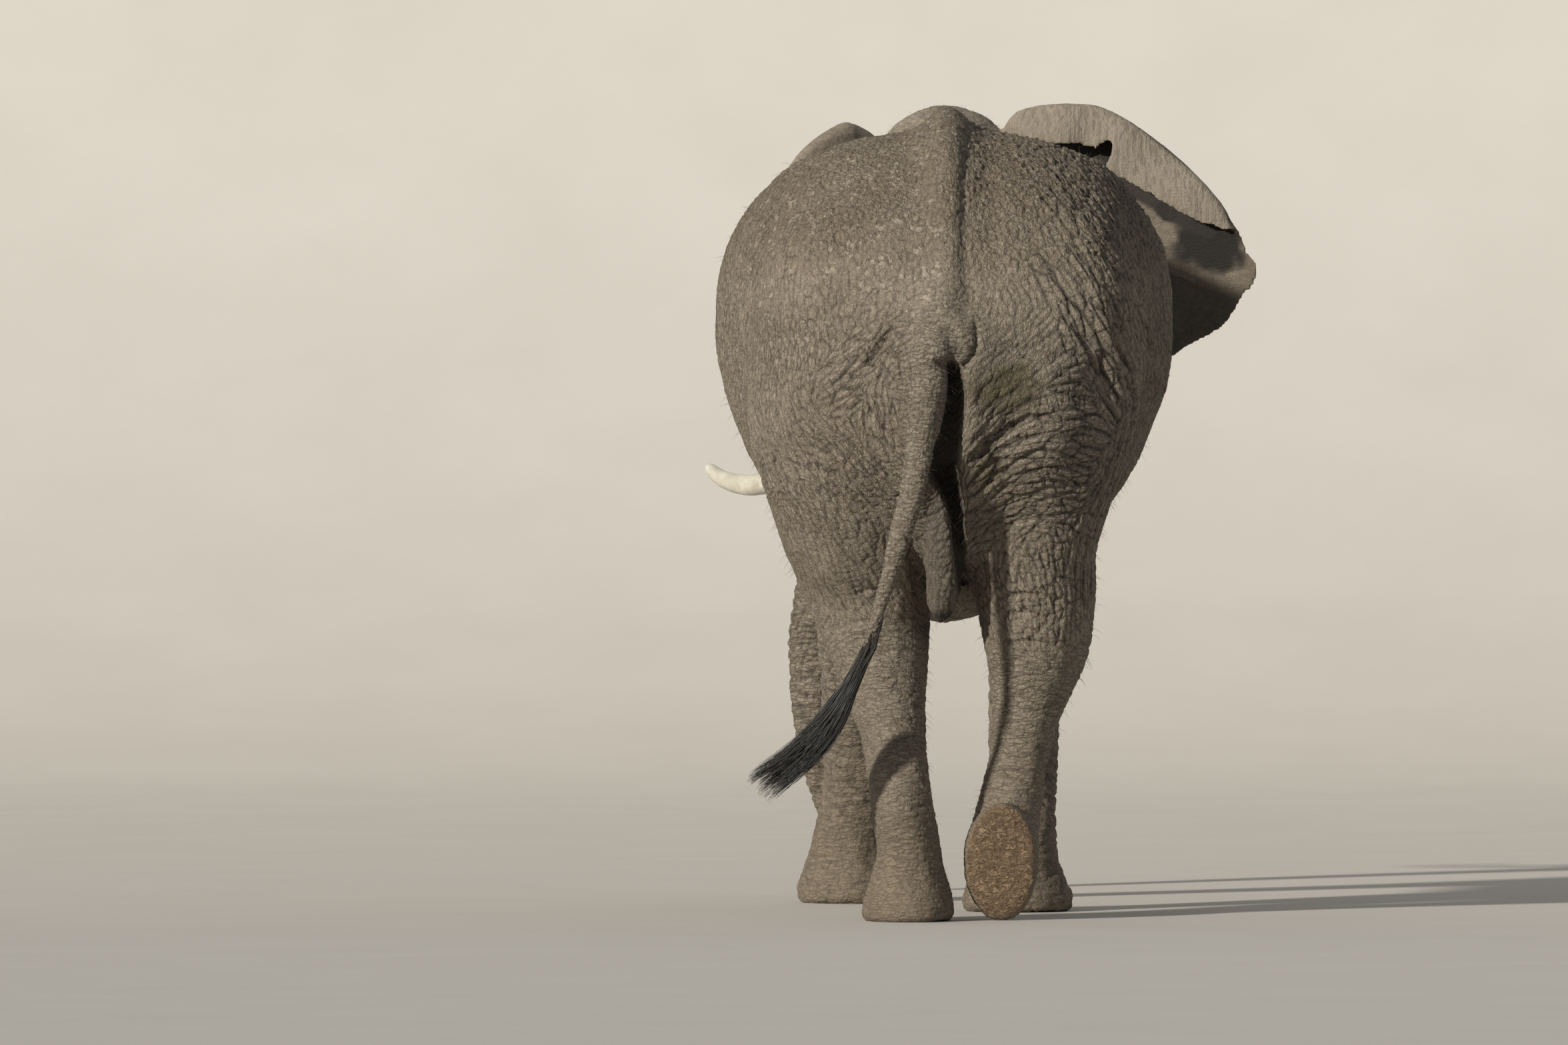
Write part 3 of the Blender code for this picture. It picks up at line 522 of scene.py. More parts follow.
# The hollow under the tail, the flap of skin that hangs in it, and the groins.
LOIN = -1.35  # no cut reaches further ahead
HOLLOW = [
    (-0.006, 1.735, 0.050), (-0.010, 1.66, 0.063), (-0.014, 1.56, 0.060), (-0.012, 1.46, 0.050),
    (0.010, 1.39, 0.036), (0.030, 1.31, 0.024), (0.037, 1.20, 0.021), (0.048, 1.10, 0.019),
    (0.058, 1.02, 0.018), (0.066, 0.94, 0.018),
]
FLAP = [
    (-0.020, 1.42, 0.04), (-0.022, 1.30, 0.055), (-0.028, 1.16, 0.065), (-0.015, 1.04, 0.075),
    (0.0, 0.95, 0.085),
]
FLAP_EDGE = [(-0.128, 1.24, 0.012), (-0.108, 1.14, 0.014), (-0.088, 1.04, 0.016), (-0.074, 0.94, 0.018)]
FLAP_SIDE = [(-0.046, 1.44), (-0.040, 1.34), (-0.052, 1.23), (-0.062, 1.15), (-0.050, 1.09), (-0.030, 1.05)]
for marks, deep, sharp in ((HOLLOW, 0.115, 8.0), (FLAP, 0.045, 4.0), (FLAP_EDGE, 0.050, 4.0)):
    skin[:, 1] += deep * cut_share(marks, sharp, LOIN)
work(rear(*FLAP_SIDE), 0.013, -0.022, 2.0, 0.2)
work(rear((-0.020, 1.36), (-0.022, 1.25), (-0.036, 1.16), (-0.020, 1.07)), 0.024, 0.014)
dab(rear((0.012, 1.045))[0], 0.026, 0.026, 3.0)
dab(rear((-0.042, 1.03))[0], 0.022, 0.020, 3.0)
dab(rear((-0.010, 0.985))[0], 0.024, 0.014, 3.0)
work(rear((0.062, 1.40), (0.078, 1.52), (0.080, 1.64), (0.076, 1.74)), 0.030, 0.012)
skin = skin + outwards_of * (0.005 * tail_mask * step_up(skin[:, 2], 1.05, 1.35))[:, None]
# Muscles of the thighs, and the deep slanting folds of the right flank.
work(rear((0.16, 1.45), (0.24, 1.52), (0.32, 1.53), (0.40, 1.48)), 0.040, 0.010)
work(rear((0.10, 1.56), (0.17, 1.64), (0.25, 1.68)), 0.050, 0.008)
work(rear((0.52, 1.98), (0.545, 1.86), (0.575, 1.74), (0.60, 1.62)), 0.028, -0.026, 2.0, 0.35)
work(rear((0.46, 2.05), (0.50, 1.92), (0.54, 1.78), (0.56, 1.64)), 0.028, 0.014, 2.0, 0.35)
work(rear((0.40, 1.98), (0.45, 1.84), (0.50, 1.70), (0.53, 1.58)), 0.024, -0.014, 2.0, 0.35)
work(rear((0.60, 2.02), (0.63, 1.90), (0.66, 1.76)), 0.024, -0.012, 2.0, 0.35)
# The face: temples, brows, cheekbones, the mouth's corners, and the sockets of the tusks.
for side in (-1, 1):
    dab(face(side, (0.20, 2.20))[0], 0.085, -0.020)
    work(face(side, (0.47, 2.075), (0.43, 2.115), (0.37, 2.125), (0.31, 2.10)), 0.026, 0.013)
    work(face(side, (0.36, 1.985), (0.26, 1.965), (0.14, 1.975), (0.06, 2.0)), 0.040, 0.014)
    work(face(side, (0.30, 1.90), (0.18, 1.86), (0.08, 1.86)), 0.045, -0.010)
    work(face(side, (0.40, 1.615), (0.30, 1.645), (0.20, 1.675), (0.13, 1.71)), 0.012, -0.024)
    work(face(side, (0.36, 1.66), (0.26, 1.69), (0.16, 1.73)), 0.022, 0.008)
    work(face(side, (0.52, 1.78), (0.47, 1.90), (0.45, 2.02)), 0.030, -0.008)
    work(face(side, (0.24, 2.085), (0.235, 2.05), (0.232, 2.01)), 0.008, -0.007)
dab(on_head(0.42, 0.0, 2.12), 0.12, -0.012)
dress()

# The cast is laid up again over the worked forms, twice as fine where it is seen closest:
# on the rump, the hind legs, the tail, the head and the back of the right ear.
recast(hide, CAST_CELL)
outer_shell(hide.data)


def refined(mesh, chosen):
    """Splits the chosen square faces in four, keeping the mesh closed around them."""
    places, _, _ = mesh_arrays(mesh)
    count = len(places)
    squares = np.empty(len(mesh.loops), np.int64)
    mesh.loops.foreach_get("vertex_index", squares)
    squares = squares.reshape(-1, 4)
    after = np.roll(squares, -1, axis=1)
    keys = np.minimum(squares, after) * count + np.maximum(squares, after)
    split = np.unique(keys[chosen])
    rank = np.searchsorted(split, keys)
    halved = split[np.minimum(rank, len(split) - 1)] == keys
    middle = count + rank
    centre = count + len(split) + np.arange(chosen.sum())
    halves = (places[split // count] + places[split % count]) / 2
    extra = np.vstack([halves, places[squares[chosen]].mean(axis=1)])
    own, mid = squares[chosen], middle[chosen]
    small = [np.stack([own[:, k], mid[:, k], centre, mid[:, k - 1]], 1) for k in range(4)]
    border = ~chosen & halved.any(axis=1)
    ragged = []
    for face in np.flatnonzero(border):
        ring = []
        for k in range(4):
            ring.append(squares[face, k])
            if halved[face, k]:
                ring.append(middle[face, k])
        ragged.append(ring)
    plain = np.vstack([squares[~chosen & ~border], *small])
    corners = np.concatenate([plain.ravel(), *[np.array(ring) for ring in ragged]])
    sizes = np.concatenate([np.full(len(plain), 4), [len(ring) for ring in ragged]]).astype(np.int64)
    fine = bpy.data.meshes.new("fine")
    fine.vertices.add(count + len(extra))
    fine.vertices.foreach_set("co", np.vstack([places, extra]).ravel())
    fine.loops.add(len(corners))
    fine.loops.foreach_set("vertex_index", corners)
    fine.polygons.add(len(sizes))
    fine.polygons.foreach_set("loop_start", np.concatenate([[0], np.cumsum(sizes)[:-1]]))
    fine.update(calc_edges=True)
    return fine


skin, outwards_of, edges = mesh_arrays(hide.data)
seen = (skin[:, 1] < -0.75) & (outwards_of[:, 1] < 0.12) & (skin[:, 2] > 0.02)
seen |= (near_box("ear_right", 0.02) > 0.5) & (outwards_of[:, 1] < 0.0)
seen |= (near_box("head", 0.01) > 0.5) & ((skin - np.array(nape)) @ np.array(ahead) > 0.02)
corner_list = np.empty(len(hide.data.loops), np.int64)
hide.data.loops.foreach_get("vertex_index", corner_list)
hide.data = refined(hide.data, seen[corner_list.reshape(-1, 4)].mean(axis=1) > 0.5)
skin, outwards_of, edges = mesh_arrays(hide.data)
skin = evened(skin, 0.5, 3, edges)
dress()
find_masks()
edge_length = np.linalg.norm(skin[edges[:, 0]] - skin[edges[:, 1]], axis=1)
starts_here = np.maximum(np.bincount(edges[:, 0], minlength=len(skin)), 1)
spacing_here = np.bincount(edges[:, 0], edge_length, len(skin)) / starts_here
seen_fine = (spacing_here > 0) & (spacing_here < 0.75 * CAST_CELL)
# The sockets of the eyes.
for side, spot in eye_spots.items():
    out = np.array(across) * (1 if side == "right" else -1)
    reach = skin - np.array(spot)
    high = reach @ out
    far = np.linalg.norm(reach - high[:, None] * out, axis=1)
    inside = (1 - step_up(far, 0.034, 0.050)) * (np.abs(high) < 0.08)
    skin = skin + out * (np.minimum(-0.004 - high, 0) * inside)[:, None]

# Finer strokes: creases round the tail's root, over the groin and across the knees.
ROOT_CREASES = [
    ((0.093, 1.905), (0.097, 1.865), (0.093, 1.825), (0.074, 1.787), (0.035, 1.757), (0.0, 1.735)),
    ((0.03, 1.915), (0.018, 1.880), (0.022, 1.835), (0.045, 1.80)),
    ((-0.175, 1.895), (-0.190, 1.865), (-0.212, 1.830), (-0.242, 1.790), (-0.27, 1.76)),
    ((-0.19, 1.865), (-0.165, 1.82), (-0.148, 1.77), (-0.140, 1.70), (-0.142, 1.62)),
    ((-0.15, 1.93), (-0.11, 1.89), (-0.10, 1.83), (-0.12, 1.78)),
]
for line, cut in zip(ROOT_CREASES, (-0.020, -0.009, -0.026, -0.014, -0.010)):
    work(rear(*line), 0.010, cut, 1.7, 0.3)
KNOT_CREASES = [
    ((0.025, 1.905), (0.045, 1.885), (0.085, 1.880)),
    ((0.022, 1.872), (0.045, 1.857), (0.085, 1.852)),
    ((0.020, 1.835), (0.045, 1.825), (0.080, 1.825)),
    ((0.052, 1.925), (0.060, 1.880), (0.052, 1.830), (0.036, 1.785)),
]
for line in KNOT_CREASES:
    work(rear(*line), 0.006, -0.009, 1.6, 0.3)
work(rear((-0.155, 1.90), (-0.175, 1.84), (-0.20, 1.78)), 0.026, 0.007)
work(rear((-0.245, 1.89), (-0.27, 1.84), (-0.30, 1.79)), 0.026, 0.006)
GROIN_ARCS = [
    ((0.058, 1.430), (0.086, 1.466), (0.130, 1.516), (0.186, 1.565), (0.264, 1.602), (0.33, 1.60)),
    ((0.055, 1.338), (0.13, 1.394), (0.219, 1.461), (0.308, 1.505), (0.397, 1.516)),
    ((0.10, 1.42), (0.18, 1.485), (0.27, 1.535), (0.36, 1.55)),
    ((0.069, 1.26), (0.175, 1.327), (0.308, 1.372), (0.42, 1.394)),
    ((0.07, 1.30), (0.16, 1.365), (0.27, 1.42), (0.38, 1.45)),
    ((0.086, 1.594), (0.163, 1.661), (0.264, 1.694), (0.34, 1.70)),
    ((0.08, 1.19), (0.18, 1.25), (0.30, 1.28), (0.42, 1.29)),
]
for line, cut in zip(GROIN_ARCS, (-0.026, -0.012, -0.010, -0.009, -0.008, -0.008, -0.007)):
    work(rear(*line), 0.009, cut, 1.5, 0.4)
work(rear((0.09, 1.445), (0.14, 1.495), (0.20, 1.540), (0.27, 1.57)), 0.016, 0.007)
THIGH_LINES = [
    ((-0.359, 1.561), (-0.293, 1.516), (-0.215, 1.428), (-0.148, 1.35), (-0.12, 1.28)),
    ((-0.248, 1.537), (-0.192, 1.438), (-0.154, 1.35), (-0.13, 1.27)),
    ((-0.45, 1.50), (-0.36, 1.42), (-0.27, 1.33), (-0.19, 1.22)),
    ((-0.137, 1.22), (-0.10, 1.10), (-0.080, 1.0), (-0.074, 0.92)),
]
for line in THIGH_LINES:
    work(rear(*line), 0.010, -0.009, 1.7, 0.3)
KNEE_LINES = [
    ((0.10, 1.005), (0.163, 1.033), (0.264, 1.038), (0.353, 1.016), (0.40, 0.99)),
    ((0.11, 0.955), (0.18, 0.975), (0.27, 0.975), (0.36, 0.955)),
    ((0.10, 0.865), (0.19, 0.887), (0.28, 0.885), (0.36, 0.86)),
    ((0.24, 1.03), (0.245, 1.0), (0.25, 0.97)),
    ((0.17, 0.97), (0.172, 0.93), (0.175, 0.89)),
    ((-0.31, 1.03), (-0.24, 1.05), (-0.15, 1.05)),
    ((-0.33, 0.93), (-0.25, 0.955), (-0.16, 0.955)),
    ((-0.35, 0.84), (-0.27, 0.87), (-0.18, 0.87)),
]
for line in KNEE_LINES:
    work(rear(*line), 0.009, -0.010, 1.6, 0.3)
dress()

# ---------------------------------------------------------------- folds of the hide
# The cast is then cut with folds: the long ones first, next the net of creases between
# them, last the fine cross creases. They run as the hide is pulled: down the flanks,
# round the limbs, trunk and tail, and in arcs from the groin over the thigh.


def lattice(points, size, seed):
    """Smooth noise from -1 to 1 that changes over about one size."""
    scaled = points / size
    base = np.floor(scaled).astype(np.int64)
    part = scaled - base
    part = part * part * (3 - 2 * part)
    value = np.zeros(len(points))
    for corner in range(8):
        step = np.array([corner & 1, corner >> 1 & 1, corner >> 2])
        cell = base + step
        key = cell[:, 0] * 73856093 ^ cell[:, 1] * 19349663 ^ cell[:, 2] * 83492791
        key = (key ^ seed * 2654435761) & 0xFFFFFFFF
        key = (key ^ key >> 15) * 2246822519 & 0xFFFFFFFF
        key = (key ^ key >> 13) * 3266489917 & 0xFFFFFFFF
        key = key ^ key >> 16
        weight = np.where(step, part, 1 - part).prod(axis=1)
        value += weight * (key / 2147483647.5 - 1)
    return value


flow_rows = []  # place, run, radius of the limb or 0, length, width, net depth, long depth


def flow(line, length, width, net, long=0.0, radius=0.0):
    """Folds follow a line on the hide, or go round it where it is a limb's axis."""
    line = np.array(line)
    for a, b in zip(line, line[1:]):
        span = b - a
        for step in (1 / 6, 1 / 2, 5 / 6):
            run = span / np.linalg.norm(span)
            flow_rows.append((*(a + span * step), *run, radius, length, width, net, long))


for side in (-1, 1):
    for along in (0.9, 1.3, 1.7):
        flow(flank(side, (along, 2.2), (along, 1.8), (along, 1.4), (along, 1.1)), 0.070, 0.022, 0.7, 0.4)
    flow(flank(side, (0.5, 2.2), (0.45, 1.9), (0.5, 1.6), (0.6, 1.3)), 0.065, 0.020, 0.7, 0.5)
    flow(flank(side, (0.75, 1.25), (0.85, 1.12), (0.95, 1.05)), 0.080, 0.026, 0.9, 0.9)
flow(rear((-0.60, 2.1), (-0.64, 1.9), (-0.64, 1.7), (-0.60, 1.5), (-0.52, 1.3)), 0.075, 0.019, 0.8, 0.45)
flow(rear((-0.50, 2.2), (-0.54, 1.95), (-0.54, 1.7), (-0.48, 1.5)), 0.055, 0.020, 0.55, 0.25)
flow(rear((0.40, 2.30), (0.50, 2.15), (0.58, 1.98), (0.65, 1.78)), 0.085, 0.026, 0.9, 0.6)
flow(rear((0.36, 2.05), (0.46, 1.88), (0.55, 1.70), (0.60, 1.55)), 0.085, 0.026, 1.0, 0.9)
flow(rear((0.66, 1.5), (0.60, 1.35), (0.52, 1.22), (0.44, 1.12)), 0.080, 0.024, 0.9, 0.7)
flow(rear((0.06, 1.40), (0.12, 1.49), (0.20, 1.55), (0.30, 1.59), (0.40, 1.60)), 0.080, 0.025, 0.85, 0.6)
flow(rear((0.06, 1.33), (0.12, 1.40), (0.22, 1.47), (0.32, 1.49), (0.42, 1.46)), 0.065, 0.025, 0.85, 0.7)
flow(rear((0.06, 1.22), (0.14, 1.29), (0.25, 1.34), (0.38, 1.32)), 0.050, 0.023, 0.75, 0.5)
flow(rear((0.08, 1.62), (0.15, 1.70), (0.24, 1.77), (0.32, 1.83)), 0.060, 0.026, 0.55, 0.35)
flow(rear((0.10, 1.12), (0.12, 1.02), (0.14, 0.92)), 0.040, 0.024, 0.8, 0.3)
flow(rear((0.30, 1.15), (0.33, 1.03), (0.34, 0.92)), 0.045, 0.022, 0.8, 0.3)
flow(rear((-0.14, 1.84), (-0.24, 1.76), (-0.34, 1.70)), 0.050, 0.026, 0.9, 0.5)
flow(rear((-0.48, 1.58), (-0.36, 1.46), (-0.26, 1.34), (-0.17, 1.22)), 0.045, 0.022, 0.75, 0.40)
flow(rear((-0.40, 1.42), (-0.32, 1.30), (-0.26, 1.20)), 0.045, 0.022, 0.70, 0.35)
flow(rear((-0.20, 1.70), (-0.16, 1.50), (-0.12, 1.32)), 0.070, 0.026, 0.8, 0.6)
flow(rear((-0.36, 1.15), (-0.29, 1.02), (-0.24, 0.92), (-0.20, 0.8)), 0.080, 0.022, 0.55, 0.3)
flow(rear((-0.15, 2.4), (-0.17, 2.2), (-0.20, 2.0)), 0.027, 0.024, 0.55)
flow(rear((-0.35, 2.3), (-0.38, 2.1), (-0.38, 1.9)), 0.029, 0.024, 0.55)
flow(rear((0.15, 2.4), (0.17, 2.2), (0.20, 2.0)), 0.027, 0.024, 0.60)
flow(crown((0.0, 0.4), (0.0, 0.9), (0.0, 1.4), (0.0, 2.0)), 0.034, 0.024, 0.40)
flow(axis_of("tail_root", "tail_shaft"), 0.050, 0.0145, 0.55, 0.0, 0.045)
flow(axis_of("trunk_upper"), 0.16, 0.030, 0.8, 0.9, 0.15)
flow(axis_of("trunk_middle", "trunk_lower"), 0.12, 0.022, 0.8, 0.5, 0.09)
for side in ("left", "right"):
    flow(axis_of(f"foreleg_upper_{side}"), 0.060, 0.026, 0.8, 0.4, 0.17)
    flow(axis_of(f"foreleg_lower_{side}"), 0.055, 0.020, 0.6, 0.4, 0.13)
    flow(axis_of(f"forefoot_{side}"), 0.050, 0.016, 0.4, 0.2, 0.16)
    flow(axis_of(f"hindleg_lower_{side}"), 0.055, 0.022, 0.36, 0.2, 0.13)
    flow(axis_of(f"hindfoot_{side}"), 0.060, 0.016, 0.28, 0.1, 0.15)
head_axis = [tuple(on_head(0.1, 0, 2.6)), tuple(on_head(0.15, 0, 2.2)), tuple(on_head(0.1, 0, 1.8))]
flow(head_axis, 0.036, 0.024, 0.5, 0.2, 0.25)
flow(axis_of("neck"), 0.10, 0.030, 0.8, 0.8, 0.32)
for sheet in (right_ear, left_ear):
    for column in (30, 80, 130, 185):
        flow(ear_grid(sheet)[2:EAR_ROWS:25, column], 0.060, 0.026, 0.30)
flow_rows = np.array(flow_rows)
line_place, line_run, line_radius = flow_rows[:, :3], flow_rows[:, 3:6], flow_rows[:, 6]
line_sizes = np.log(np.maximum(flow_rows[:, 7:], 1e-3))


def lie_at(vertex):
    """The run of the folds at a vertex, and their length, width, net depth, long depth."""
    gap = line_place - skin[vertex]
    away = np.maximum(np.sqrt((gap * gap).sum(axis=1)) - line_radius, 0.0)
    weight = (away * away + 0.0009) ** -2.0
    weight /= weight.sum()
    normal = outwards_of[vertex]
    run = np.where((line_radius > 0)[:, None], unit(np.cross(line_run, normal), 1e-9), line_run)
    run = run - (run @ normal)[:, None] * normal
    spread = (run * weight[:, None]).T @ run
    return np.linalg.eigh(spread)[1][:, 2], np.exp(weight @ line_sizes)


class Plots:
    """Sorts the hide's vertices into small cubes, to find those near a place quickly."""

    def __init__(self, size):
        self.size = size
        self.base = skin.min(axis=0) - 8 * size
        cells = np.floor((skin - self.base) / size).astype(np.int64)
        self.span = cells.max(axis=0) + 20
        keys = (cells[:, 0] * self.span[1] + cells[:, 1]) * self.span[2] + cells[:, 2]
        self.order = np.argsort(keys, kind="stable")
        self.keys = keys[self.order]

    def near(self, place, reach):
        cx, cy, cz = np.floor((place - self.base) / self.size).astype(int)
        k = math.ceil(reach / self.size)
        steps = np.arange(-k, k + 1)
        rows = ((cx + steps[:, None]) * self.span[1] + cy + steps).ravel() * self.span[2] + cz
        starts = np.searchsorted(self.keys, rows - k)
        ends = np.searchsorted(self.keys, rows + k, side="right")
        return np.concatenate([self.order[a:b] for a, b in zip(starts, ends)])


CHANCES = 8192  # how many different strengths a net's creases share


def crease_net(seed, stretch, spacing, which, turn=0.0):
    """Packs cells over the hide, stretched from the lie's sizes and turned from its run.
    Gives each vertex's distance to the crease between its two nearest cells, the chance
    that the crease is a strong one, and the cells' depth."""
    count = len(skin)
    plots = Plots(0.03 * max(1.0, stretch[1] * 0.8))
    covered = np.zeros(count, bool)
    # Of the nearest cell and the next: its distance, slope (3 columns), number and depth.
    first, second = np.zeros((2, count, 6))
    first[:, 0] = second[:, 0] = 9.0
    first_run = np.zeros((count, 3))
    rng = np.random.default_rng(seed)
    cell = 0
    for site in rng.permutation(count):
        if covered[site]:
            continue
        cell += 1
        along, sizes = lie_at(site)
        long, wide = sizes[0] * stretch[0], sizes[1] * stretch[1]
        if turn:
            side = np.cross(outwards_of[site], along)
            along = along * math.cos(turn) + side * math.sin(turn)
        near = plots.near(skin[site], long * 1.25)
        gap = skin[near] - skin[site]
        forward = (gap @ along)[:, None] * along
        scaled = forward / long**2 + (gap - forward) / wide**2
        reach = np.sqrt((scaled * gap).sum(axis=1))
        usable = (reach < 2.0) & (outwards_of[near] @ outwards_of[site] > 0.1)
        near, reach, scaled = near[usable], reach[usable], scaled[usable]
        slope = scaled / np.maximum(reach, 0.05)[:, None]
        covered[near[reach < spacing]] = True
        covered[site] = True
        rows = np.empty((len(near), 6))
        rows[:, 0], rows[:, 1:4], rows[:, 4], rows[:, 5] = reach, slope, cell, sizes[which]
        won = reach < first[near, 0]
        best = near[won]
        second[best] = first[best]
        first[best] = rows[won]
        first_run[best] = along
        runner = ~won & (reach < second[near, 0])
        second[near[runner]] = rows[runner]
    steep = np.linalg.norm(first[:, 1:4] - second[:, 1:4], axis=1)
    edge = (second[:, 0] - first[:, 0]) / np.maximum(steep, 1.0)
    chance = rng.random(CHANCES)[(first[:, 4] + second[:, 4]).astype(np.int64) % CHANCES]
    return edge, chance, (first[:, 5] + second[:, 5]) / 2, first_run


NET_DEPTH, LONG_DEPTH = 2, 3  # their places among the lie's sizes
calm = 1 - 0.88 * ear_mask
bent = skin + 0.0


def wandering(size, seeds):
    """A slow sidling of the skin's places, so that no crease runs straight."""
    return np.stack([lattice(bent, size, seed) for seed in seeds], 1)


skin = bent + wandering(0.07, (1, 2, 3)) * 0.008
long_edge, long_chance, long_depth, _ = crease_net(21, (2.6, 2.2), 0.80, LONG_DEPTH)
skin = bent + wandering(0.03, (4, 5, 6)) * 0.003
net_edge, net_chance, net_depth, run = crease_net(22, (1.5, 1.05), 0.78, NET_DEPTH)
cross_edge, cross_chance, cross_depth, _ = crease_net(23, (0.9, 1.1), 0.80, NET_DEPTH, 1.35)
skin = bent
long_cut = np.exp(-((long_edge / 0.0070) ** 1.4)) * (0.25 + 0.75 * long_chance)
long_round = 1 - np.exp(-long_edge / 0.016)
net_cut = np.exp(-((net_edge / 0.0036) ** 1.5)) * (0.25 + 0.75 * net_chance)
net_round = 1 - np.exp(-net_edge / 0.007)
cross_cut = np.exp(-((cross_edge / 0.0034) ** 1.5)) * (0.10 + 0.90 * cross_chance**1.5)
height = long_depth * (0.010 * (long_round - 0.6) - 0.008 * long_cut)
height += net_depth * (0.0027 * (net_round - 0.6) - 0.0060 * net_cut)
height -= cross_depth * 0.0050 * cross_cut
# The spine's ridge is drawn smooth, and the hide beside it and on the head is folded less.
high_up = step_up(skin[:, 2], 1.80, 2.05) * step_up(-skin[:, 1], 0.9, 1.4) * (1 - ear_mask)
taut = high_up * np.exp(-(((skin[:, 0] - midline) / 0.045) ** 2))
height *= (1 - 0.25 * high_up) * (1 - 0.6 * taut) * (1 - 0.40 * near_box("head", 0.05))
height += 0.0016 * lattice(skin, 0.035, 7) + 0.004 * lattice(skin, 0.12, 8)
# Dried mud stands on the top of the rump as crumbs, thicker right of the spine.
on_top = step_up(skin[:, 2] + 0.10 * lattice(skin, 0.25, 9), 1.95, 2.25) * step_up(-skin[:, 1], 0.2, 0.9)
on_top *= (1 - ear_mask) * (1 - near_box("head", 0.05)) * step_up(outwards_of[:, 2], -0.05, 0.2)
crumbs = np.maximum(lattice(skin, 0.017, 10) - 0.05, 0) + 0.8 * np.maximum(lattice(skin, 0.010, 11) - 0.1, 0)
rough = 0.35 + 0.65 * step_up(skin[:, 0] - midline, 0.0, 0.10)
height += on_top * crumbs * rough * 0.0092
skin = skin + outwards_of * (height * calm)[:, None]
# The creases are also painted darker, as painted shade, less on the ears and the head.
crease = np.clip(long_cut * long_depth * 1.1 + net_cut * net_depth + 0.8 * cross_cut * cross_depth, 0, 1)
crease *= 1 - np.maximum(0.60 * ear_mask, 0.40 * near_box("head", 0.05))
dress()

# ---------------------------------------------------------------- finish of the hide
# The rubber hide is painted matt grey-brown, with painted shade in the creases and cracks,
# in the cleft under the tail, under the crotch and in the pocket under the right ear's fold,
# and a painted shadow on the lower right ear; with pale dust on all that faces up, dried mud
# on the back and on the ear's back, and green-brown stains.


def store(mesh, name, values):
    """Stores a value at each vertex of a mesh, for its finish to read."""
    layer = mesh.attributes.new(name, "FLOAT", "POINT")
    layer.data.foreach_set("value", np.ascontiguousarray(values, np.float32))


def keep(name, values):
    """Stores a value from 0 to 1 all over the hide."""
    store(hide.data, name, np.clip(values, 0, 1))


def patch(place, radius, squash=(1, 1, 1)):
    """1 at a place on the hide, fading to 0 with a ragged edge about a radius away."""
    away = np.linalg.norm((skin - np.array(place)) * np.array(squash), axis=1)
    ragged = 0.25 * lattice(skin, radius * 0.5, 31) + 0.15 * lattice(skin, radius * 0.2, 32)
    return 1 - step_up(away / radius + ragged, 0.55, 1.15)


sole_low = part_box("hindfoot_right")[0]
level = run[:, 0] ** 2 + run[:, 1] ** 2 - run[:, 2] ** 2
slant = 2 * run[:, 0] * run[:, 2]
grain_masks = np.stack([np.maximum(v, 0) ** 2 for v in (level, -level, slant, -slant)], 1)
grain_masks = evened(grain_masks, 0.5, 20, edges) * (1 - 0.7 * high_up)[:, None]
for name, values in zip(("level", "upright", "rising", "falling"), grain_masks.T):
    keep("lie_" + name, values)
keep("crease", crease)
# Painted shade: the cleft under the tail, half as much the flap in it, and the underside between the hind
# legs are painted near black.
painted_shade = np.maximum(cut_share(HOLLOW, 6.0, LOIN), 0.5 * cut_share(FLAP, 3.0, LOIN))
under = np.exp(-(((skin[:, 0] - midline - 0.015) / 0.085) ** 4)) * step_up(-skin[:, 2], -1.02, -0.97)
under *= step_up(skin[:, 2], 0.86, 0.90)
painted_shade = np.maximum(painted_shade, under) * step_up(-skin[:, 1], 1.2, 1.5)
keep("mud", on_top)
dust = step_up(outwards_of[:, 2] + 0.25 * lattice(skin, 0.08, 34), -0.1, 0.9)
keep("dust", np.maximum(dust, 0.9 * patch(rear((0.23, 2.0))[0], 0.17)))
stain = patch(rear((0.19, 1.70))[0], 0.13, (0.9, 0.3, 1.5))
keep("stain", np.maximum(stain, patch(rear((0.125, 1.44))[0], 0.085, (1.3, 0.3, 1.0))))
keep("ridge", net_round * (1 - net_cut) * (1 - cross_cut) * np.clip(net_depth, 0, 1))
flaked = step_up(skin[:, 2] + 0.15 * lattice(skin, 0.2, 35), 1.72, 2.0) * step_up(-skin[:, 1], 0.9, 1.4)
keep("flaked", flaked * (1 - 0.6 * step_up(skin[:, 0] - midline, -0.05, 0.10)) * (1 - ear_mask))
way_out, way_back = (np.array(way) for way in ear_directions(10, 1))
ear_root = np.array(on_head(0.02, -0.19, 2.12))
turned_over = step_up((skin - ear_root) @ way_back, 0.034, 0.046) * near_box("ear_right", 0.02) * ear_mask
keep("flap", turned_over)
low_down = 1 - step_up(skin[:, 2], 0.05, 0.75)
keep("fine_skin", np.maximum(np.maximum(ear_mask, 0.6 * near_box("head", 0.05)), 0.5 * low_down))
facing_back = step_up(outwards_of @ way_back, 0.0, 0.4)
# The right ear's back carries patches of mud, is darker all over, and below a slanting line carries a painted
# cast shadow.
wallow = patch(ear_root + way_out * 0.665 + np.array((0, 0, 0.035)), 0.155, (1.0, 0.3, 1.3))
wallow = np.maximum(wallow, patch(ear_root + way_out * 0.52 + np.array((0, 0, 0.14)), 0.06, (1.0, 0.3, 1.0)))
out_there, high_there = (skin - ear_root) @ way_out, (skin - ear_root)[:, 2]
lower_ear_shadow = step_up(-high_there - 0.404 * (out_there - 0.522), 0.050, 0.072)
wallow = np.maximum(np.maximum(wallow, 0.30), 0.62 * lower_ear_shadow) * facing_back * near_box("ear_right", 0.02)
keep("wallow", ear_mask * (1 - turned_over) * wallow)
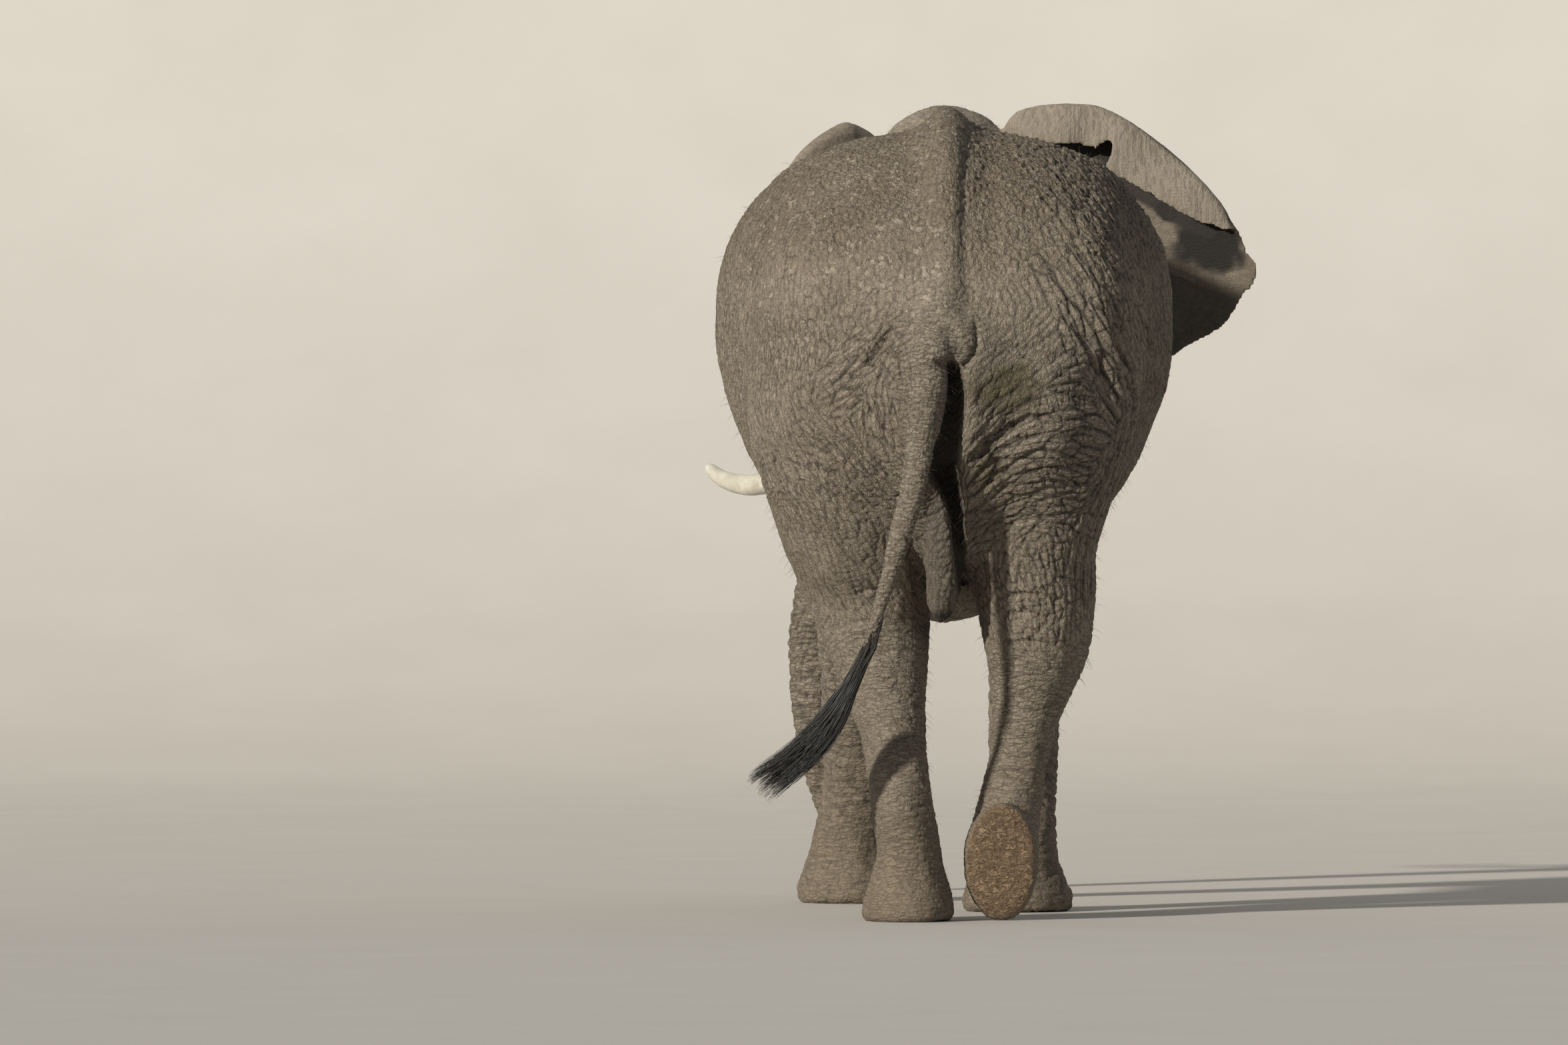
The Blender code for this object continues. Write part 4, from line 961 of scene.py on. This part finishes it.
# Under the fold's free edge the ear's back lies in a deep pocket, painted dark as painted shade.
free_edge = ear_grid(right_ear)[-1, 8:88:4]
flat = skin - ((skin - ear_root) @ way_back)[:, None] * way_back
free_edge = free_edge - ((free_edge - ear_root) @ way_back)[:, None] * way_back
pocket_shade = step_up(-distance_to(free_edge, flat)[0], -0.052, -0.030)
pocket_shade *= (1 - turned_over) * near_box("ear_right", 0.02) * ear_mask * facing_back
sole_mask = near_box("hindfoot_right", 0.02) * step_up(-outwards_of[:, 1], 0.35, 0.75)
sole_mask *= step_up(sole_low.y + 0.20 - skin[:, 1], 0.0, 0.04)
keep("sole", sole_mask)
keep("painted_shade", np.maximum(painted_shade, pocket_shade))
keep("feet", low_down)


class Wire:
    """A socket in a finish's node tree. Sums and products of wires add Math nodes."""

    def __init__(self, tree, socket):
        self.tree, self.socket = tree, socket

    def maths(self, operation, *values):
        node = self.tree.nodes.new("ShaderNodeMath")
        node.operation = operation
        for port, value in zip(node.inputs, values):
            if isinstance(value, Wire):
                self.tree.links.new(value.socket, port)
            else:
                port.default_value = value
        return Wire(self.tree, node.outputs[0])

    def __add__(self, other):
        return self.maths("ADD", self, other)

    def __radd__(self, other):
        return self.maths("ADD", other, self)

    def __sub__(self, other):
        return self.maths("SUBTRACT", self, other)

    def __rsub__(self, other):
        return self.maths("SUBTRACT", other, self)

    def __mul__(self, other):
        return self.maths("MULTIPLY", self, other)

    def __rmul__(self, other):
        return self.maths("MULTIPLY", other, self)


class Finish:
    """A material whose other nodes all come from one method."""

    def __init__(self, name, **plain):
        self.material = bpy.data.materials.new(name)
        self.material.use_nodes = True
        self.tree = self.material.node_tree
        self.surface = self.tree.nodes["Principled BSDF"]
        self.spot = self.add("TexCoord", output=3)
        for socket, value in plain.items():
            self.surface.inputs[socket.replace("_", " ")].default_value = value

    def add(self, kind, settings=None, sockets=None, output=0):
        """A node of a kind, with its settings made first, then its sockets."""
        node = self.tree.nodes.new("ShaderNode" + kind)
        for key, value in (settings or {}).items():
            setattr(node, key, value)
        for key, value in (sockets or {}).items():
            port = node.inputs[key]
            if isinstance(value, Wire):
                self.tree.links.new(value.socket, port)
            else:
                port.default_value = value
        return Wire(self.tree, node.outputs[output])

    def mix(self, amount, under, over):
        """One colour over another."""
        under, over = (c if isinstance(c, Wire) else (*c, 1.0) for c in (under, over))
        return self.add("Mix", {"data_type": "RGBA"}, {0: amount, 6: under, 7: over}, 2)

    def coats(self, tone, *layers):
        """A tone under layers of other colours, each with its amount."""
        for amount, colour in layers:
            tone = self.mix(amount, tone, colour)
        return tone

    def between(self, value, low, high, start=0.0, end=1.0):
        """A value's way from low to high, as start to end, held at both."""
        sockets = {0: value, 1: low, 2: high, 3: start, 4: end}
        return self.add("MapRange", {"interpolation_type": "SMOOTHSTEP"}, sockets)

    def read(self, name):
        """A value stored on the mesh."""
        return self.add("Attribute", {"attribute_name": name}, output=2)

    def noise(self, place, scale, detail=4.0, roughness=0.55):
        sockets = {"Vector": place, "Scale": scale, "Detail": detail, "Roughness": roughness}
        return self.add("TexNoise", {}, sockets)

    def stretched(self, place, long, wide, turn=(0.0, 0.0, 0.0), upright=False):
        """Object places scaled down so that unit cells come out long and narrow."""
        sizes = (1 / wide, 1 / wide, 1 / long) if upright else (1 / long, 1 / long, 1 / wide)
        turned = self.add("VectorRotate", {"rotation_type": "EULER_XYZ"}, {"Vector": place, "Rotation": turn})
        return self.add("VectorMath", {"operation": "MULTIPLY"}, {0: turned, 1: sizes})

    def cracks(self, place, width, jitter=1.0):
        """0 in the cracks between cells of unit size and 1 on the cells."""
        sockets = {"Vector": place, "Scale": 1.0, "Randomness": jitter}
        edge = self.add("TexVoronoi", {"feature": "DISTANCE_TO_EDGE"}, sockets)
        return self.between(edge, 0.0, width)

    def swayed(self, scale, detail, reach, middle):
        """The mesh's places, each pushed aside by a noise, so that no crack runs straight."""
        push = self.add("TexNoise", {}, {"Vector": self.spot, "Scale": scale, "Detail": detail}, 1)
        push = self.add("VectorMath", {"operation": "SUBTRACT"}, {0: push, 1: (middle,) * 3})
        push = self.add("VectorMath", {"operation": "SCALE"}, {0: push, "Scale": reach})
        return self.add("VectorMath", {"operation": "ADD"}, {0: self.spot, 1: push})

    def feed(self, socket, wire):
        self.tree.links.new(wire.socket, self.surface.inputs[socket])

    def emboss(self, height, strength=1.0):
        """Raises the finish by a height in metres."""
        sockets = {"Height": height, "Distance": 1.0, "Strength": strength}
        self.feed("Normal", self.add("Bump", {}, sockets))


dry = Finish("dry_hide", Roughness=0.86)
wavy = dry.swayed(14.0, 2.0, 0.030, 0.5)
LONG_CRACK, SLANT_CRACK, CRACK_GAP = 0.045, 0.036, 0.0125
slope = math.radians(45)
crack_cells = {
    "level": dry.stretched(wavy, LONG_CRACK, CRACK_GAP),
    "upright": dry.stretched(wavy, LONG_CRACK, CRACK_GAP, upright=True),
    "rising": dry.stretched(wavy, SLANT_CRACK, CRACK_GAP, (0, -slope, 0), True),
    "falling": dry.stretched(wavy, SLANT_CRACK, CRACK_GAP, (0, slope, 0), True),
}
cracks = 1.0
for way, cells in crack_cells.items():
    cracks = cracks + dry.read("lie_" + way) * (dry.cracks(cells, 0.16) - 1)
crossing = dry.cracks(dry.stretched(wavy, 0.011, 0.011), 0.14)
crease_shade_here, mud_here, dust_here = dry.read("crease"), dry.read("mud"), dry.read("dust")
stain_here, fine_here, sole_here, feet_here = (dry.read(n) for n in ("stain", "fine_skin", "sole", "feet"))
painted_shade_here = dry.read("painted_shade")
blotch = dry.noise(dry.spot, 1.6, 5.0)
cloud = dry.noise(dry.spot, 7.0, 5.0, 0.6)
speck = dry.noise(dry.spot, 70.0, 4.0, 0.6)
grit = dry.noise(dry.spot, 260.0, 3.0, 0.6)
flake = dry.between(dry.add("TexVoronoi", {}, {"Vector": wavy, "Scale": 46.0}), 0.46, 0.36)
flake = flake * dry.between(dry.noise(dry.spot, 24.0), 0.50, 0.58) * dry.read("flaked")
flap_here = dry.read("flap")
pleats = dry.noise(dry.stretched(wavy, 0.16, 0.014, upright=True), 1.0, 4.0, 0.6)
tone = dry.coats(
    (0.200, 0.162, 0.118),
    (dry.between(blotch, 0.35, 0.65), (0.265, 0.221, 0.164)),
    (dry.between(cloud, 0.40, 0.68, 0.0, 0.55), (0.295, 0.247, 0.187)),
    (dust_here * dry.between(cloud, 0.3, 0.6, 0.25, 0.7), (0.325, 0.272, 0.204)),
    (dry.read("ridge") * 0.35, (0.350, 0.296, 0.224)),
    (dry.between(speck, 0.55, 0.75, 0.0, 0.55), (0.37, 0.315, 0.24)),
    (dry.between(speck, 0.30, 0.45, 0.55, 0.0), (0.105, 0.084, 0.060)),
    (mud_here * dry.between(cloud, 0.35, 0.6, 0.35, 0.85), (0.205, 0.160, 0.108)),
    (stain_here * dry.between(cloud, 0.3, 0.6, 0.5, 0.95), (0.115, 0.095, 0.045)),
    (feet_here * 0.7, (0.190, 0.146, 0.096)),
    # Painted shade in the cracks between the skin's cells.
    ((1 - cracks) * (0.55 - 0.38 * fine_here), (0.060, 0.047, 0.033)),
    ((1 - crossing) * (0.30 - 0.20 * fine_here), (0.070, 0.055, 0.040)),
    # Painted shade in the creases.
    (crease_shade_here * 0.88, (0.032, 0.025, 0.018)),
    (flake * 0.65, (0.385, 0.33, 0.255)),
    (flap_here * 0.60, (0.295, 0.250, 0.195)),
    # Painted shade in the grooves between the flap's pleats.
    (flap_here * dry.between(pleats, 0.52, 0.38, 0.0, 0.45), (0.130, 0.106, 0.080)),
    # Mud on the right ear's back, and the painted shadow on its lower part.
    (dry.read("wallow") * dry.between(cloud, 0.3, 0.5, 0.85, 1.0), (0.012, 0.010, 0.008)),
    # Painted shade in the cleft, under the crotch and in the ear's pocket.
    (painted_shade_here * 0.94, (0.022, 0.018, 0.015)),
)
ragged = dry.swayed(55.0, 3.0, 0.045, 0.0)
sole_cracks = dry.cracks(dry.stretched(ragged, 0.050, 0.013), 0.30)
sole_pits = dry.noise(dry.stretched(ragged, 0.020, 0.007), 1.0, 4.0, 0.6)
sole_tone = dry.coats(
    (0.150, 0.096, 0.050),
    (dry.between(sole_pits, 0.38, 0.62), (0.325, 0.228, 0.138)),
    # Painted shade in the sole's cracks.
    ((1 - sole_cracks) * 0.55, (0.075, 0.044, 0.024)),
    (dry.between(sole_here, 0.95, 0.6, 0.0, 0.7), (0.32, 0.245, 0.165)),
)
dry.feed("Base Color", dry.mix(sole_here, tone, sole_tone))
dry.feed("Roughness", dry.between(grit, 0.3, 0.7, 0.78, 0.93))
crust = dry.cracks(dry.stretched(wavy, 0.014, 0.014), 0.35)
relief = (cracks * 0.0026 + crossing * 0.0013) * (1 - 0.65 * fine_here)
relief = relief + grit * 0.0014 + speck * 0.0021 + flake * 0.0020
relief = relief + mud_here * (crust * 0.0030 + dry.between(speck, 0.45, 0.6) * 0.0035)
relief = relief + sole_here * (sole_cracks * 0.004 + sole_pits * 0.010) + flap_here * (pleats * 0.009)
dry.emboss(relief, 0.9)


def clad(piece, finish):
    """Smooths a piece's facets and gives it its only finish."""
    piece.data.shade_smooth()
    piece.data.materials.clear()
    piece.data.materials.append(finish.material)
    return piece


clad(hide, dry)
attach(hide, "root")
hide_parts(*FORMS)

# ---------------------------------------------------------------- eyes
# Glass eyes, amber-brown with a round pupil, sit in sockets under the brow. Creased lids
# of the same rubber wrap each glass, and long stiff lashes stand on the upper lid.

EYE_RADIUS = 0.0195
LID_REACH = 0.058  # from the eye's middle to the lids' sunken outer edge
LID_CREASES = (0.0235, 0.0300, 0.0375, 0.0460)
LID_COLUMNS, LID_ROWS = 128, 24
LASHES = 46  # on each eye


def tube_faces(count, steps, around):
    """The faces of open tubes whose points go round ring by ring, tube after tube."""
    index = np.arange(count * steps * around).reshape(count, steps, around)
    after = np.roll(index, -1, axis=2)
    return np.stack([index[:, :-1], after[:, :-1], after[:, 1:], index[:, 1:]], -1).reshape(-1, 4)


def hair_mesh(name, lines, radii, spots, blunt=0.15):
    """Three-sided tapered strands as one mesh. Each strand has its own small patch on the
    skin's unwrap, at its root's spot there."""
    count, steps = lines.shape[:2]
    run = unit(np.gradient(lines, axis=1), 1e-12)
    side = unit(np.cross(run, (0.37, 0.83, 0.41)), 1e-12)
    other = np.cross(run, side)
    taper = blunt + (1 - blunt) * (1 - np.linspace(0, 1, steps) ** 2)
    turns = np.arange(3) * math.tau / 3
    ring = side[:, :, None] * np.cos(turns)[:, None] + other[:, :, None] * np.sin(turns)[:, None]
    places = lines[:, :, None] + ring * (radii[:, None] * taper)[:, :, None, None]
    quads = tube_faces(count, steps, 3)
    mesh = new_mesh(name, places.reshape(-1, 3), quads)
    across_patch = np.broadcast_to(np.arange(3) / 2, (count, steps, 3))
    along_patch = np.broadcast_to(np.linspace(0, 1, steps)[:, None], (count, steps, 3))
    patches = spots[:, None, None] + np.stack([across_patch, along_patch], -1) * 0.003
    layer = mesh.uv_layers.new(name="OFBake")
    layer.data.foreach_set("uv", patches.reshape(-1, 2)[quads.ravel()].ravel())
    return mesh


def barrel_spots(places):
    """Where places lie on the skin when it is slit along the belly and rolled out."""
    around = np.arctan2(places[:, 0] - midline, places[:, 2] - 1.7) / math.tau + 0.5
    along = (places[:, 1] - cad_low.y) / (cad_high.y - cad_low.y)
    return np.stack([around, along], 1) * 0.98 + 0.01


glass = Finish("glass_eye", Roughness=0.06, Coat_Weight=1.0, Coat_Roughness=0.02)
ring_here = glass.read("from_middle")
streaks = glass.noise(glass.spot, 900.0, 3.0)
white = glass.mix(glass.between(ring_here, 0.60, 0.95), (0.075, 0.040, 0.028), (0.16, 0.10, 0.08))
eye_tone = glass.coats(
    (0.060, 0.024, 0.008),
    (streaks, (0.180, 0.082, 0.026)),
    (glass.between(ring_here, 0.38, 0.46), (0.020, 0.010, 0.006)),
    (glass.between(ring_here, 0.46, 0.50), white),
)
glass.feed("Base Color", glass.mix(glass.between(ring_here, 0.16, 0.18), (0.002, 0.002, 0.002), eye_tone))
wiry = Finish("wiry_hair", Roughness=0.50)
wiry.feed("Base Color", wiry.mix(wiry.noise(wiry.spot, 60.0), (0.006, 0.0055, 0.005), (0.022, 0.018, 0.014)))

surface = BVHTree.FromObject(hide, bpy.context.evaluated_depsgraph_get())
chance = np.random.default_rng(5)
for side_name, side in (("left", -1), ("right", 1)):
    middle = np.array(eye_spots[side_name])
    out = np.array((across * side + ahead * 0.28 - Vector((0, 0, 0.06))).normalized())
    up = np.array((0, 0, 1.0)) - out * out[2]
    up /= np.linalg.norm(up)
    fore = np.cross(out, up) * -side

    ball = bpy.data.meshes.new("eyeball")
    shape = bmesh.new()
    bmesh.ops.create_uvsphere(shape, u_segments=64, v_segments=48, radius=EYE_RADIUS)
    bmesh.ops.rotate(shape, verts=shape.verts, matrix=Vector(out).to_track_quat("Z", "Y").to_matrix())
    bmesh.ops.translate(shape, verts=shape.verts, vec=Vector(middle))
    shape.to_mesh(ball)
    shape.free()
    reach = mesh_arrays(ball)[0] - middle
    facing = reach @ out
    ring = np.linalg.norm(reach - facing[:, None] * out, axis=1) / EYE_RADIUS
    store(ball, "from_middle", np.where(facing > 0, ring, 2 - ring))
    eyeball = clad(add_object("eyeball_" + side_name, ball), glass)
    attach(eyeball, "root")
    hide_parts("eye_" + side_name)

    turns = np.arange(LID_COLUMNS) * math.tau / LID_COLUMNS
    sine, cosine = np.sin(turns), np.cos(turns)
    opening = np.where(sine > 0, 0.0128, 0.0104) * sine * np.abs(sine) ** 0.25
    edge = np.stack([0.0182 * cosine, opening + 0.002 * cosine], 1)
    rim = np.stack([cosine, sine], 1) * LID_REACH
    skin_there = []
    for u, v in rim:
        start = middle + fore * u + up * v + out * 0.2
        hit = surface.ray_cast(Vector(start), Vector(-out), 0.4)[0]
        skin_there.append(0.0 if hit is None else (np.array(hit) - middle) @ out)
    skin_there = np.array(skin_there) - 0.0015
    rows, depths = [], []
    for step in range(-2, LID_ROWS + 1):
        share = max(step, 0) / LID_ROWS
        flat = edge * (1 + 0.02 * step) if step < 0 else edge * 1.02 + (rim - edge * 1.02) * share**1.15
        far = np.linalg.norm(flat, axis=1)
        dome = np.sqrt(np.maximum(EYE_RADIUS**2 - far**2, 0)) + (0.0030, 0.0004, -0.0040)[-min(step, 0)]
        over = step_up(far, 0.013, LID_REACH * 0.95)
        high = dome * (1 - over) + skin_there * over + 0.0045 * np.exp(-(((far - 0.029) / 0.011) ** 2))
        wave = 0.0012 * np.sin(3 * turns[:, None] + 40 * np.array(LID_CREASES))
        cut = np.exp(-(((far[:, None] - LID_CREASES - wave) / 0.0012) ** 2)).sum(axis=1)
        cut = cut * np.clip(share * 6, 0, 1) * (1 - step_up(far, 0.045, LID_REACH))
        high = high - 0.0017 * cut + 0.0005 * np.sin(turns * 23 + far * 500) * over
        rows.append(middle + fore * flat[:, :1] + up * flat[:, 1:] + out * high[:, None])
        # The lids are painted darker in their creases and along the rim against the glass, as painted shade.
        depths.append(np.clip(0.8 * cut + (1.0 if step < 1 else 0.0), 0, 1))
    lid_mesh = new_mesh("eyelids", np.vstack(rows), tube_faces(1, len(rows), LID_COLUMNS))
    store(lid_mesh, "crease", np.concatenate(depths))
    lids = clad(add_object("eyelids_" + side_name, lid_mesh), dry)
    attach(lids, "root")

    angle = np.linspace(0.25, math.pi - 0.25, LASHES) + chance.normal(0, 0.02, LASHES)
    root = np.stack([0.0188 * np.cos(angle), 0.0136 * np.sin(angle) + 0.002 * np.cos(angle)], 1)
    lift = np.sqrt(np.maximum(EYE_RADIUS**2 - (root**2).sum(axis=1), 0)) + 0.0010
    start = middle + fore * root[:, :1] + up * root[:, 1:] + out * lift[:, None]
    length = chance.uniform(0.030, 0.052, LASHES)
    t = np.linspace(0, 1, 8)[None, :, None] * length[:, None, None]
    lean = fore * (np.cos(angle) * 0.35 + chance.normal(0, 0.10, LASHES))[:, None]
    grow = out * 1.0 - up * 0.10 + lean
    lines = start[:, None] + grow[:, None] * t - up * (t**2 * chance.uniform(8, 14, LASHES)[:, None, None])
    lash_mesh = hair_mesh("lashes", lines, np.full(LASHES, 0.0006), barrel_spots(start))
    lashes = clad(add_object("lashes_" + side_name, lash_mesh), wiry)
    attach(lashes, "root")

# ---------------------------------------------------------------- tusks
# Two cast resin tusks, yellowish white, stained brown towards the lip and finely grained
# along their length. They are pushed into sockets in the head.

ivory = Finish("stained_ivory", Roughness=0.38, Coat_Weight=0.15, Coat_Roughness=0.3)
from_lip = ivory.read("from_lip")
grain = ivory.noise(ivory.spot, 45.0, 5.0, 0.6)
haze = ivory.noise(ivory.spot, 12.0, 4.0)
ivory_tone = ivory.coats(
    (0.46, 0.425, 0.335),
    (ivory.between(haze, 0.35, 0.65), (0.60, 0.57, 0.48)),
    (ivory.between(grain, 0.55, 0.72, 0.0, 0.5), (0.36, 0.30, 0.20)),
    (ivory.between(from_lip, 0.28, 0.0, 0.0, 0.75), (0.24, 0.165, 0.085)),
    (ivory.between(from_lip, 0.93, 1.0, 0.0, 0.5), (0.64, 0.62, 0.56)),
)
ivory.feed("Base Color", ivory_tone)
scratches = ivory.noise(ivory.stretched(ivory.spot, 0.09, 0.004), 1.0, 4.0, 0.6)
ivory.emboss(scratches * 0.0006 + grain * 0.0004)


def smooth_cast(name, node, cell, swell, rounds):
    """A solid cast anew in small even faces, a hair fuller than it was, and smoothed."""
    solid = frame["nodes"][node].data
    cast = recast(add_object(name, together(name.split("_")[0], [solid])), cell)
    places, normals, links = mesh_arrays(cast.data)
    places = evened(places + normals * swell, 0.5, rounds, links)
    cast.data.vertices.foreach_set("co", places.ravel())
    return cast, places


for side_name, left in (("left", 0.16), ("right", -0.16)):
    horn, places = smooth_cast("horn_" + side_name, "tusk_" + side_name, 0.0050, 0.002, 40)
    away = np.linalg.norm(places - np.array(on_head(0.52, left, 1.72)), axis=1)
    store(horn.data, "from_lip", away / away.max())
    clad(horn, ivory)
    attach(horn, "root")
    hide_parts("tusk_" + side_name)

# ---------------------------------------------------------------- toenails
# Broad low nails of cast resin horn, dusty grey-brown with paler worn edges, are set in
# the front rim of each foot.

horny = Finish("dusty_nail", Roughness=0.62)
nail_cloud = horny.noise(horny.spot, 30.0, 4.0)
nail_tone = horny.mix(horny.between(nail_cloud, 0.35, 0.65), (0.20, 0.158, 0.110), (0.33, 0.275, 0.205))
worn = horny.between(horny.noise(horny.spot, 120.0, 4.0), 0.5, 0.7, 0.0, 0.6)
horny.feed("Base Color", horny.mix(worn, nail_tone, (0.13, 0.098, 0.066)))
grooves = horny.noise(horny.stretched(horny.spot, 0.05, 0.0035, upright=True), 1.0, 3.0)
horny.emboss(grooves * 0.0012)
for name in [n for n in frame["nodes"] if n.startswith("nail_")]:
    plate, _ = smooth_cast("plate_" + name[5:], name, 0.0026, 0.0015, 24)
    clad(plate, horny)
    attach(plate, "root")
    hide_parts(name)

# ---------------------------------------------------------------- tail brush
# A ragged brush of coarse black hair, thick as wire, grows from both sides of the tail's
# last hand's breadth and is swung out to the left.

BRUSH_STRANDS, CLUMPS, STRAND_STEPS = 1500, 70, 12
brush_low, brush_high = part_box("tail_brush")
tip_of_tail = np.array((brush_high.x - 0.014, brush_low.y + 0.020, brush_high.z - 0.008))
brush_end = np.array((brush_low.x + 0.025, brush_high.y - 0.025, brush_low.z + 0.02))
sag = np.array((0.030, 0.0, -0.028))
share = chance.random(BRUSH_STRANDS)
angle = chance.random(BRUSH_STRANDS) * math.tau
spread = np.sqrt(chance.random(BRUSH_STRANDS))
side_way = np.array((-(brush_end - tip_of_tail)[2], 0.0, (brush_end - tip_of_tail)[0]))
side_way /= np.linalg.norm(side_way)
lateral, depth_way = spread * np.cos(angle), spread * np.sin(angle)
clump = chance.integers(0, CLUMPS, BRUSH_STRANDS)
clump_side = chance.uniform(-0.95, 0.95, CLUMPS)[clump]
clump_depth = chance.uniform(-0.8, 0.8, CLUMPS)[clump]
reach = chance.uniform(0.78, 1.08, CLUMPS)[clump] * chance.uniform(0.88, 1.0, BRUSH_STRANDS)
reach *= np.where(chance.random(BRUSH_STRANDS) < 0.3, chance.uniform(0.35, 0.85, BRUSH_STRANDS), 1.0)
tail_line = smooth_line(axis_of("tail_shaft"), 8)
tail_line = np.vstack([tail_line, tip_of_tail])
up_tail = np.clip(1 - chance.power(2.2, BRUSH_STRANDS), 0, 1) * 0.16
root_height = tip_of_tail[2] + up_tail
order = np.argsort(tail_line[:, 2])
root_x = np.interp(root_height, tail_line[order, 2], tail_line[order, 0])
root_y = np.interp(root_height, tail_line[order, 2], tail_line[order, 1])
root = np.stack([root_x, root_y, root_height], 1)
root[:, 0] += np.sign(lateral) * 0.010 + lateral * 0.004
root[:, 1] += depth_way * 0.010
lines = np.zeros((BRUSH_STRANDS, STRAND_STEPS, 3))
phase = chance.random((BRUSH_STRANDS, 2)) * math.tau
for k, at in enumerate(np.linspace(0, 1, STRAND_STEPS)):
    along = at * reach
    gather = np.clip(along * 0.85, 0, 0.88)
    wide = np.interp(along, (0, 0.12, 0.3, 0.55, 0.8, 1.05), (0.010, 0.024, 0.044, 0.058, 0.062, 0.064))
    a = lateral * (1 - gather) + clump_side * gather
    d = depth_way * (1 - gather) + clump_depth * gather
    centre = tip_of_tail + (brush_end - tip_of_tail) * along[:, None]
    centre = centre + sag * np.sin(np.pi * np.minimum(along, 1))[:, None]
    free = centre + side_way * (a * wide)[:, None] + np.array((0, 1, 0)) * (d * wide * 0.5)[:, None]
    free += side_way * (0.006 * np.sin(phase[:, 0] + along * 7) * along)[:, None]
    free[:, 1] += 0.005 * np.sin(phase[:, 1] + along * 6) * along
    leave = step_up(np.full(BRUSH_STRANDS, at), 0.0, 0.22)[:, None]
    close = root + np.array((-0.25, 0, -0.95)) * (at * 0.30 * (up_tail + 0.05))[:, None]
    lines[:, k] = close * (1 - leave) + free * leave
radii = chance.uniform(0.0009, 0.0016, BRUSH_STRANDS)
around_tail = np.stack([angle / math.tau * 0.3 + 0.35, 0.02 + up_tail * 0.5], 1)
brush_mesh = hair_mesh("brush", lines, radii, around_tail, 0.35)
brush = clad(add_object("brush", brush_mesh), wiry)
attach(brush, "root")
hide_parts("tail_brush")

# ---------------------------------------------------------------- bristles
# Thin short bristles stand singly all over the hide, thickest set on the chin, the head and
# the hind half, few on the ears, and shortest on the head and the feet.

BRISTLES = 4200
skin, outwards_of, edges = mesh_arrays(hide.data)
weight = 0.35 + 1.2 * step_up(-skin[:, 1], 0.8, 1.6)
weight += 0.8 * near_box("head", 0.01) + 1.5 * near_box("lower_jaw", 0.02)
weight *= (1 - 0.8 * ear_mask) * step_up(skin[:, 2], 0.03, 0.10)
weight *= np.where(seen_fine, 0.25, 1.0)
picked = chance.choice(len(skin), BRISTLES, replace=False, p=weight / weight.sum())
root, out = skin[picked], outwards_of[picked]
length = chance.uniform(0.018, 0.042, BRISTLES) * (1 - 0.45 * near_box("head", 0.01)[picked])
length *= 0.5 + 0.5 * step_up(root[:, 2], 0.2, 0.6)
grow = out + np.array((0, -0.25, -0.55)) + chance.normal(0, 0.28, (BRISTLES, 3))
grow = unit(grow - out * np.minimum((grow * out).sum(axis=1) - 0.35, 0)[:, None])
t = np.linspace(0, 1, 5)[None, :, None] * length[:, None, None]
lines = root[:, None] - out[:, None] * 0.002 + grow[:, None] * t + np.array((0, 0, -6.0)) * t**2
bristle_mesh = hair_mesh("bristles", lines, chance.uniform(0.00035, 0.0006, BRISTLES), barrel_spots(root))
pale_wire = Finish("pale_bristle", Roughness=0.5)
wire_tone = pale_wire.mix(pale_wire.noise(pale_wire.spot, 25.0), (0.05, 0.04, 0.028), (0.20, 0.155, 0.10))
pale_wire.feed("Base Color", wire_tone)
bristles = clad(add_object("bristles", bristle_mesh), pale_wire)
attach(bristles, "root")

# ---------------------------------------------------------------- floor and light
# The model stands on a plain pale studio floor that curves up into a wall, whose back can
# be seen through. One soft key lamp rakes over the rump from the left, and a pale sky
# fills the shadows.

HALF_WIDTH, NEAR_END, CURVE_START, CURVE_RADIUS, WALL_TOP = 45.0, -90.0, 14.0, 8.0, 30.0
profile = [(NEAR_END, 0.0), (CURVE_START, 0.0)]
for t in np.linspace(0.1, math.pi / 2, 14):
    profile.append((CURVE_START + CURVE_RADIUS * math.sin(t), CURVE_RADIUS * (1 - math.cos(t))))
profile.append((CURVE_START + CURVE_RADIUS, WALL_TOP))
cove = bpy.data.meshes.new("floor")
corners = [(s, a, h) for a, h in profile for s in (-HALF_WIDTH, HALF_WIDTH)]
cove.from_pydata(corners, [], [(2 * i, 2 * i + 1, 2 * i + 3, 2 * i + 2) for i in range(len(profile) - 1)])
pale = Finish("pale_floor", Roughness=0.9)
pale.feed("Base Color", pale.mix(pale.noise(pale.spot, 1.5), (0.52, 0.49, 0.44), (0.58, 0.55, 0.50)))
back_facing = pale.add("NewGeometry", output=6)
pale.feed("Alpha", 1 - back_facing)
floor = clad(add_object("floor", cove), pale)

world = bpy.data.worlds.new("studio")
bpy.context.scene.world = world
world.use_nodes = True
world.node_tree.nodes["Background"].inputs["Color"].default_value = (0.80, 0.88, 1.0, 1.0)
world.node_tree.nodes["Background"].inputs["Strength"].default_value = 0.25

key = bpy.data.lights.new("key", "SUN")
key.energy = 4.1
key.angle = math.radians(3)
key.color = (1.0, 0.955, 0.88)
key_lamp = add_object("key", key)
key_lamp.rotation_euler = Vector((0.60, 0.72, -0.33)).to_track_quat("-Z", "Y").to_euler()
bpy.context.scene.view_settings.view_transform = "Standard"
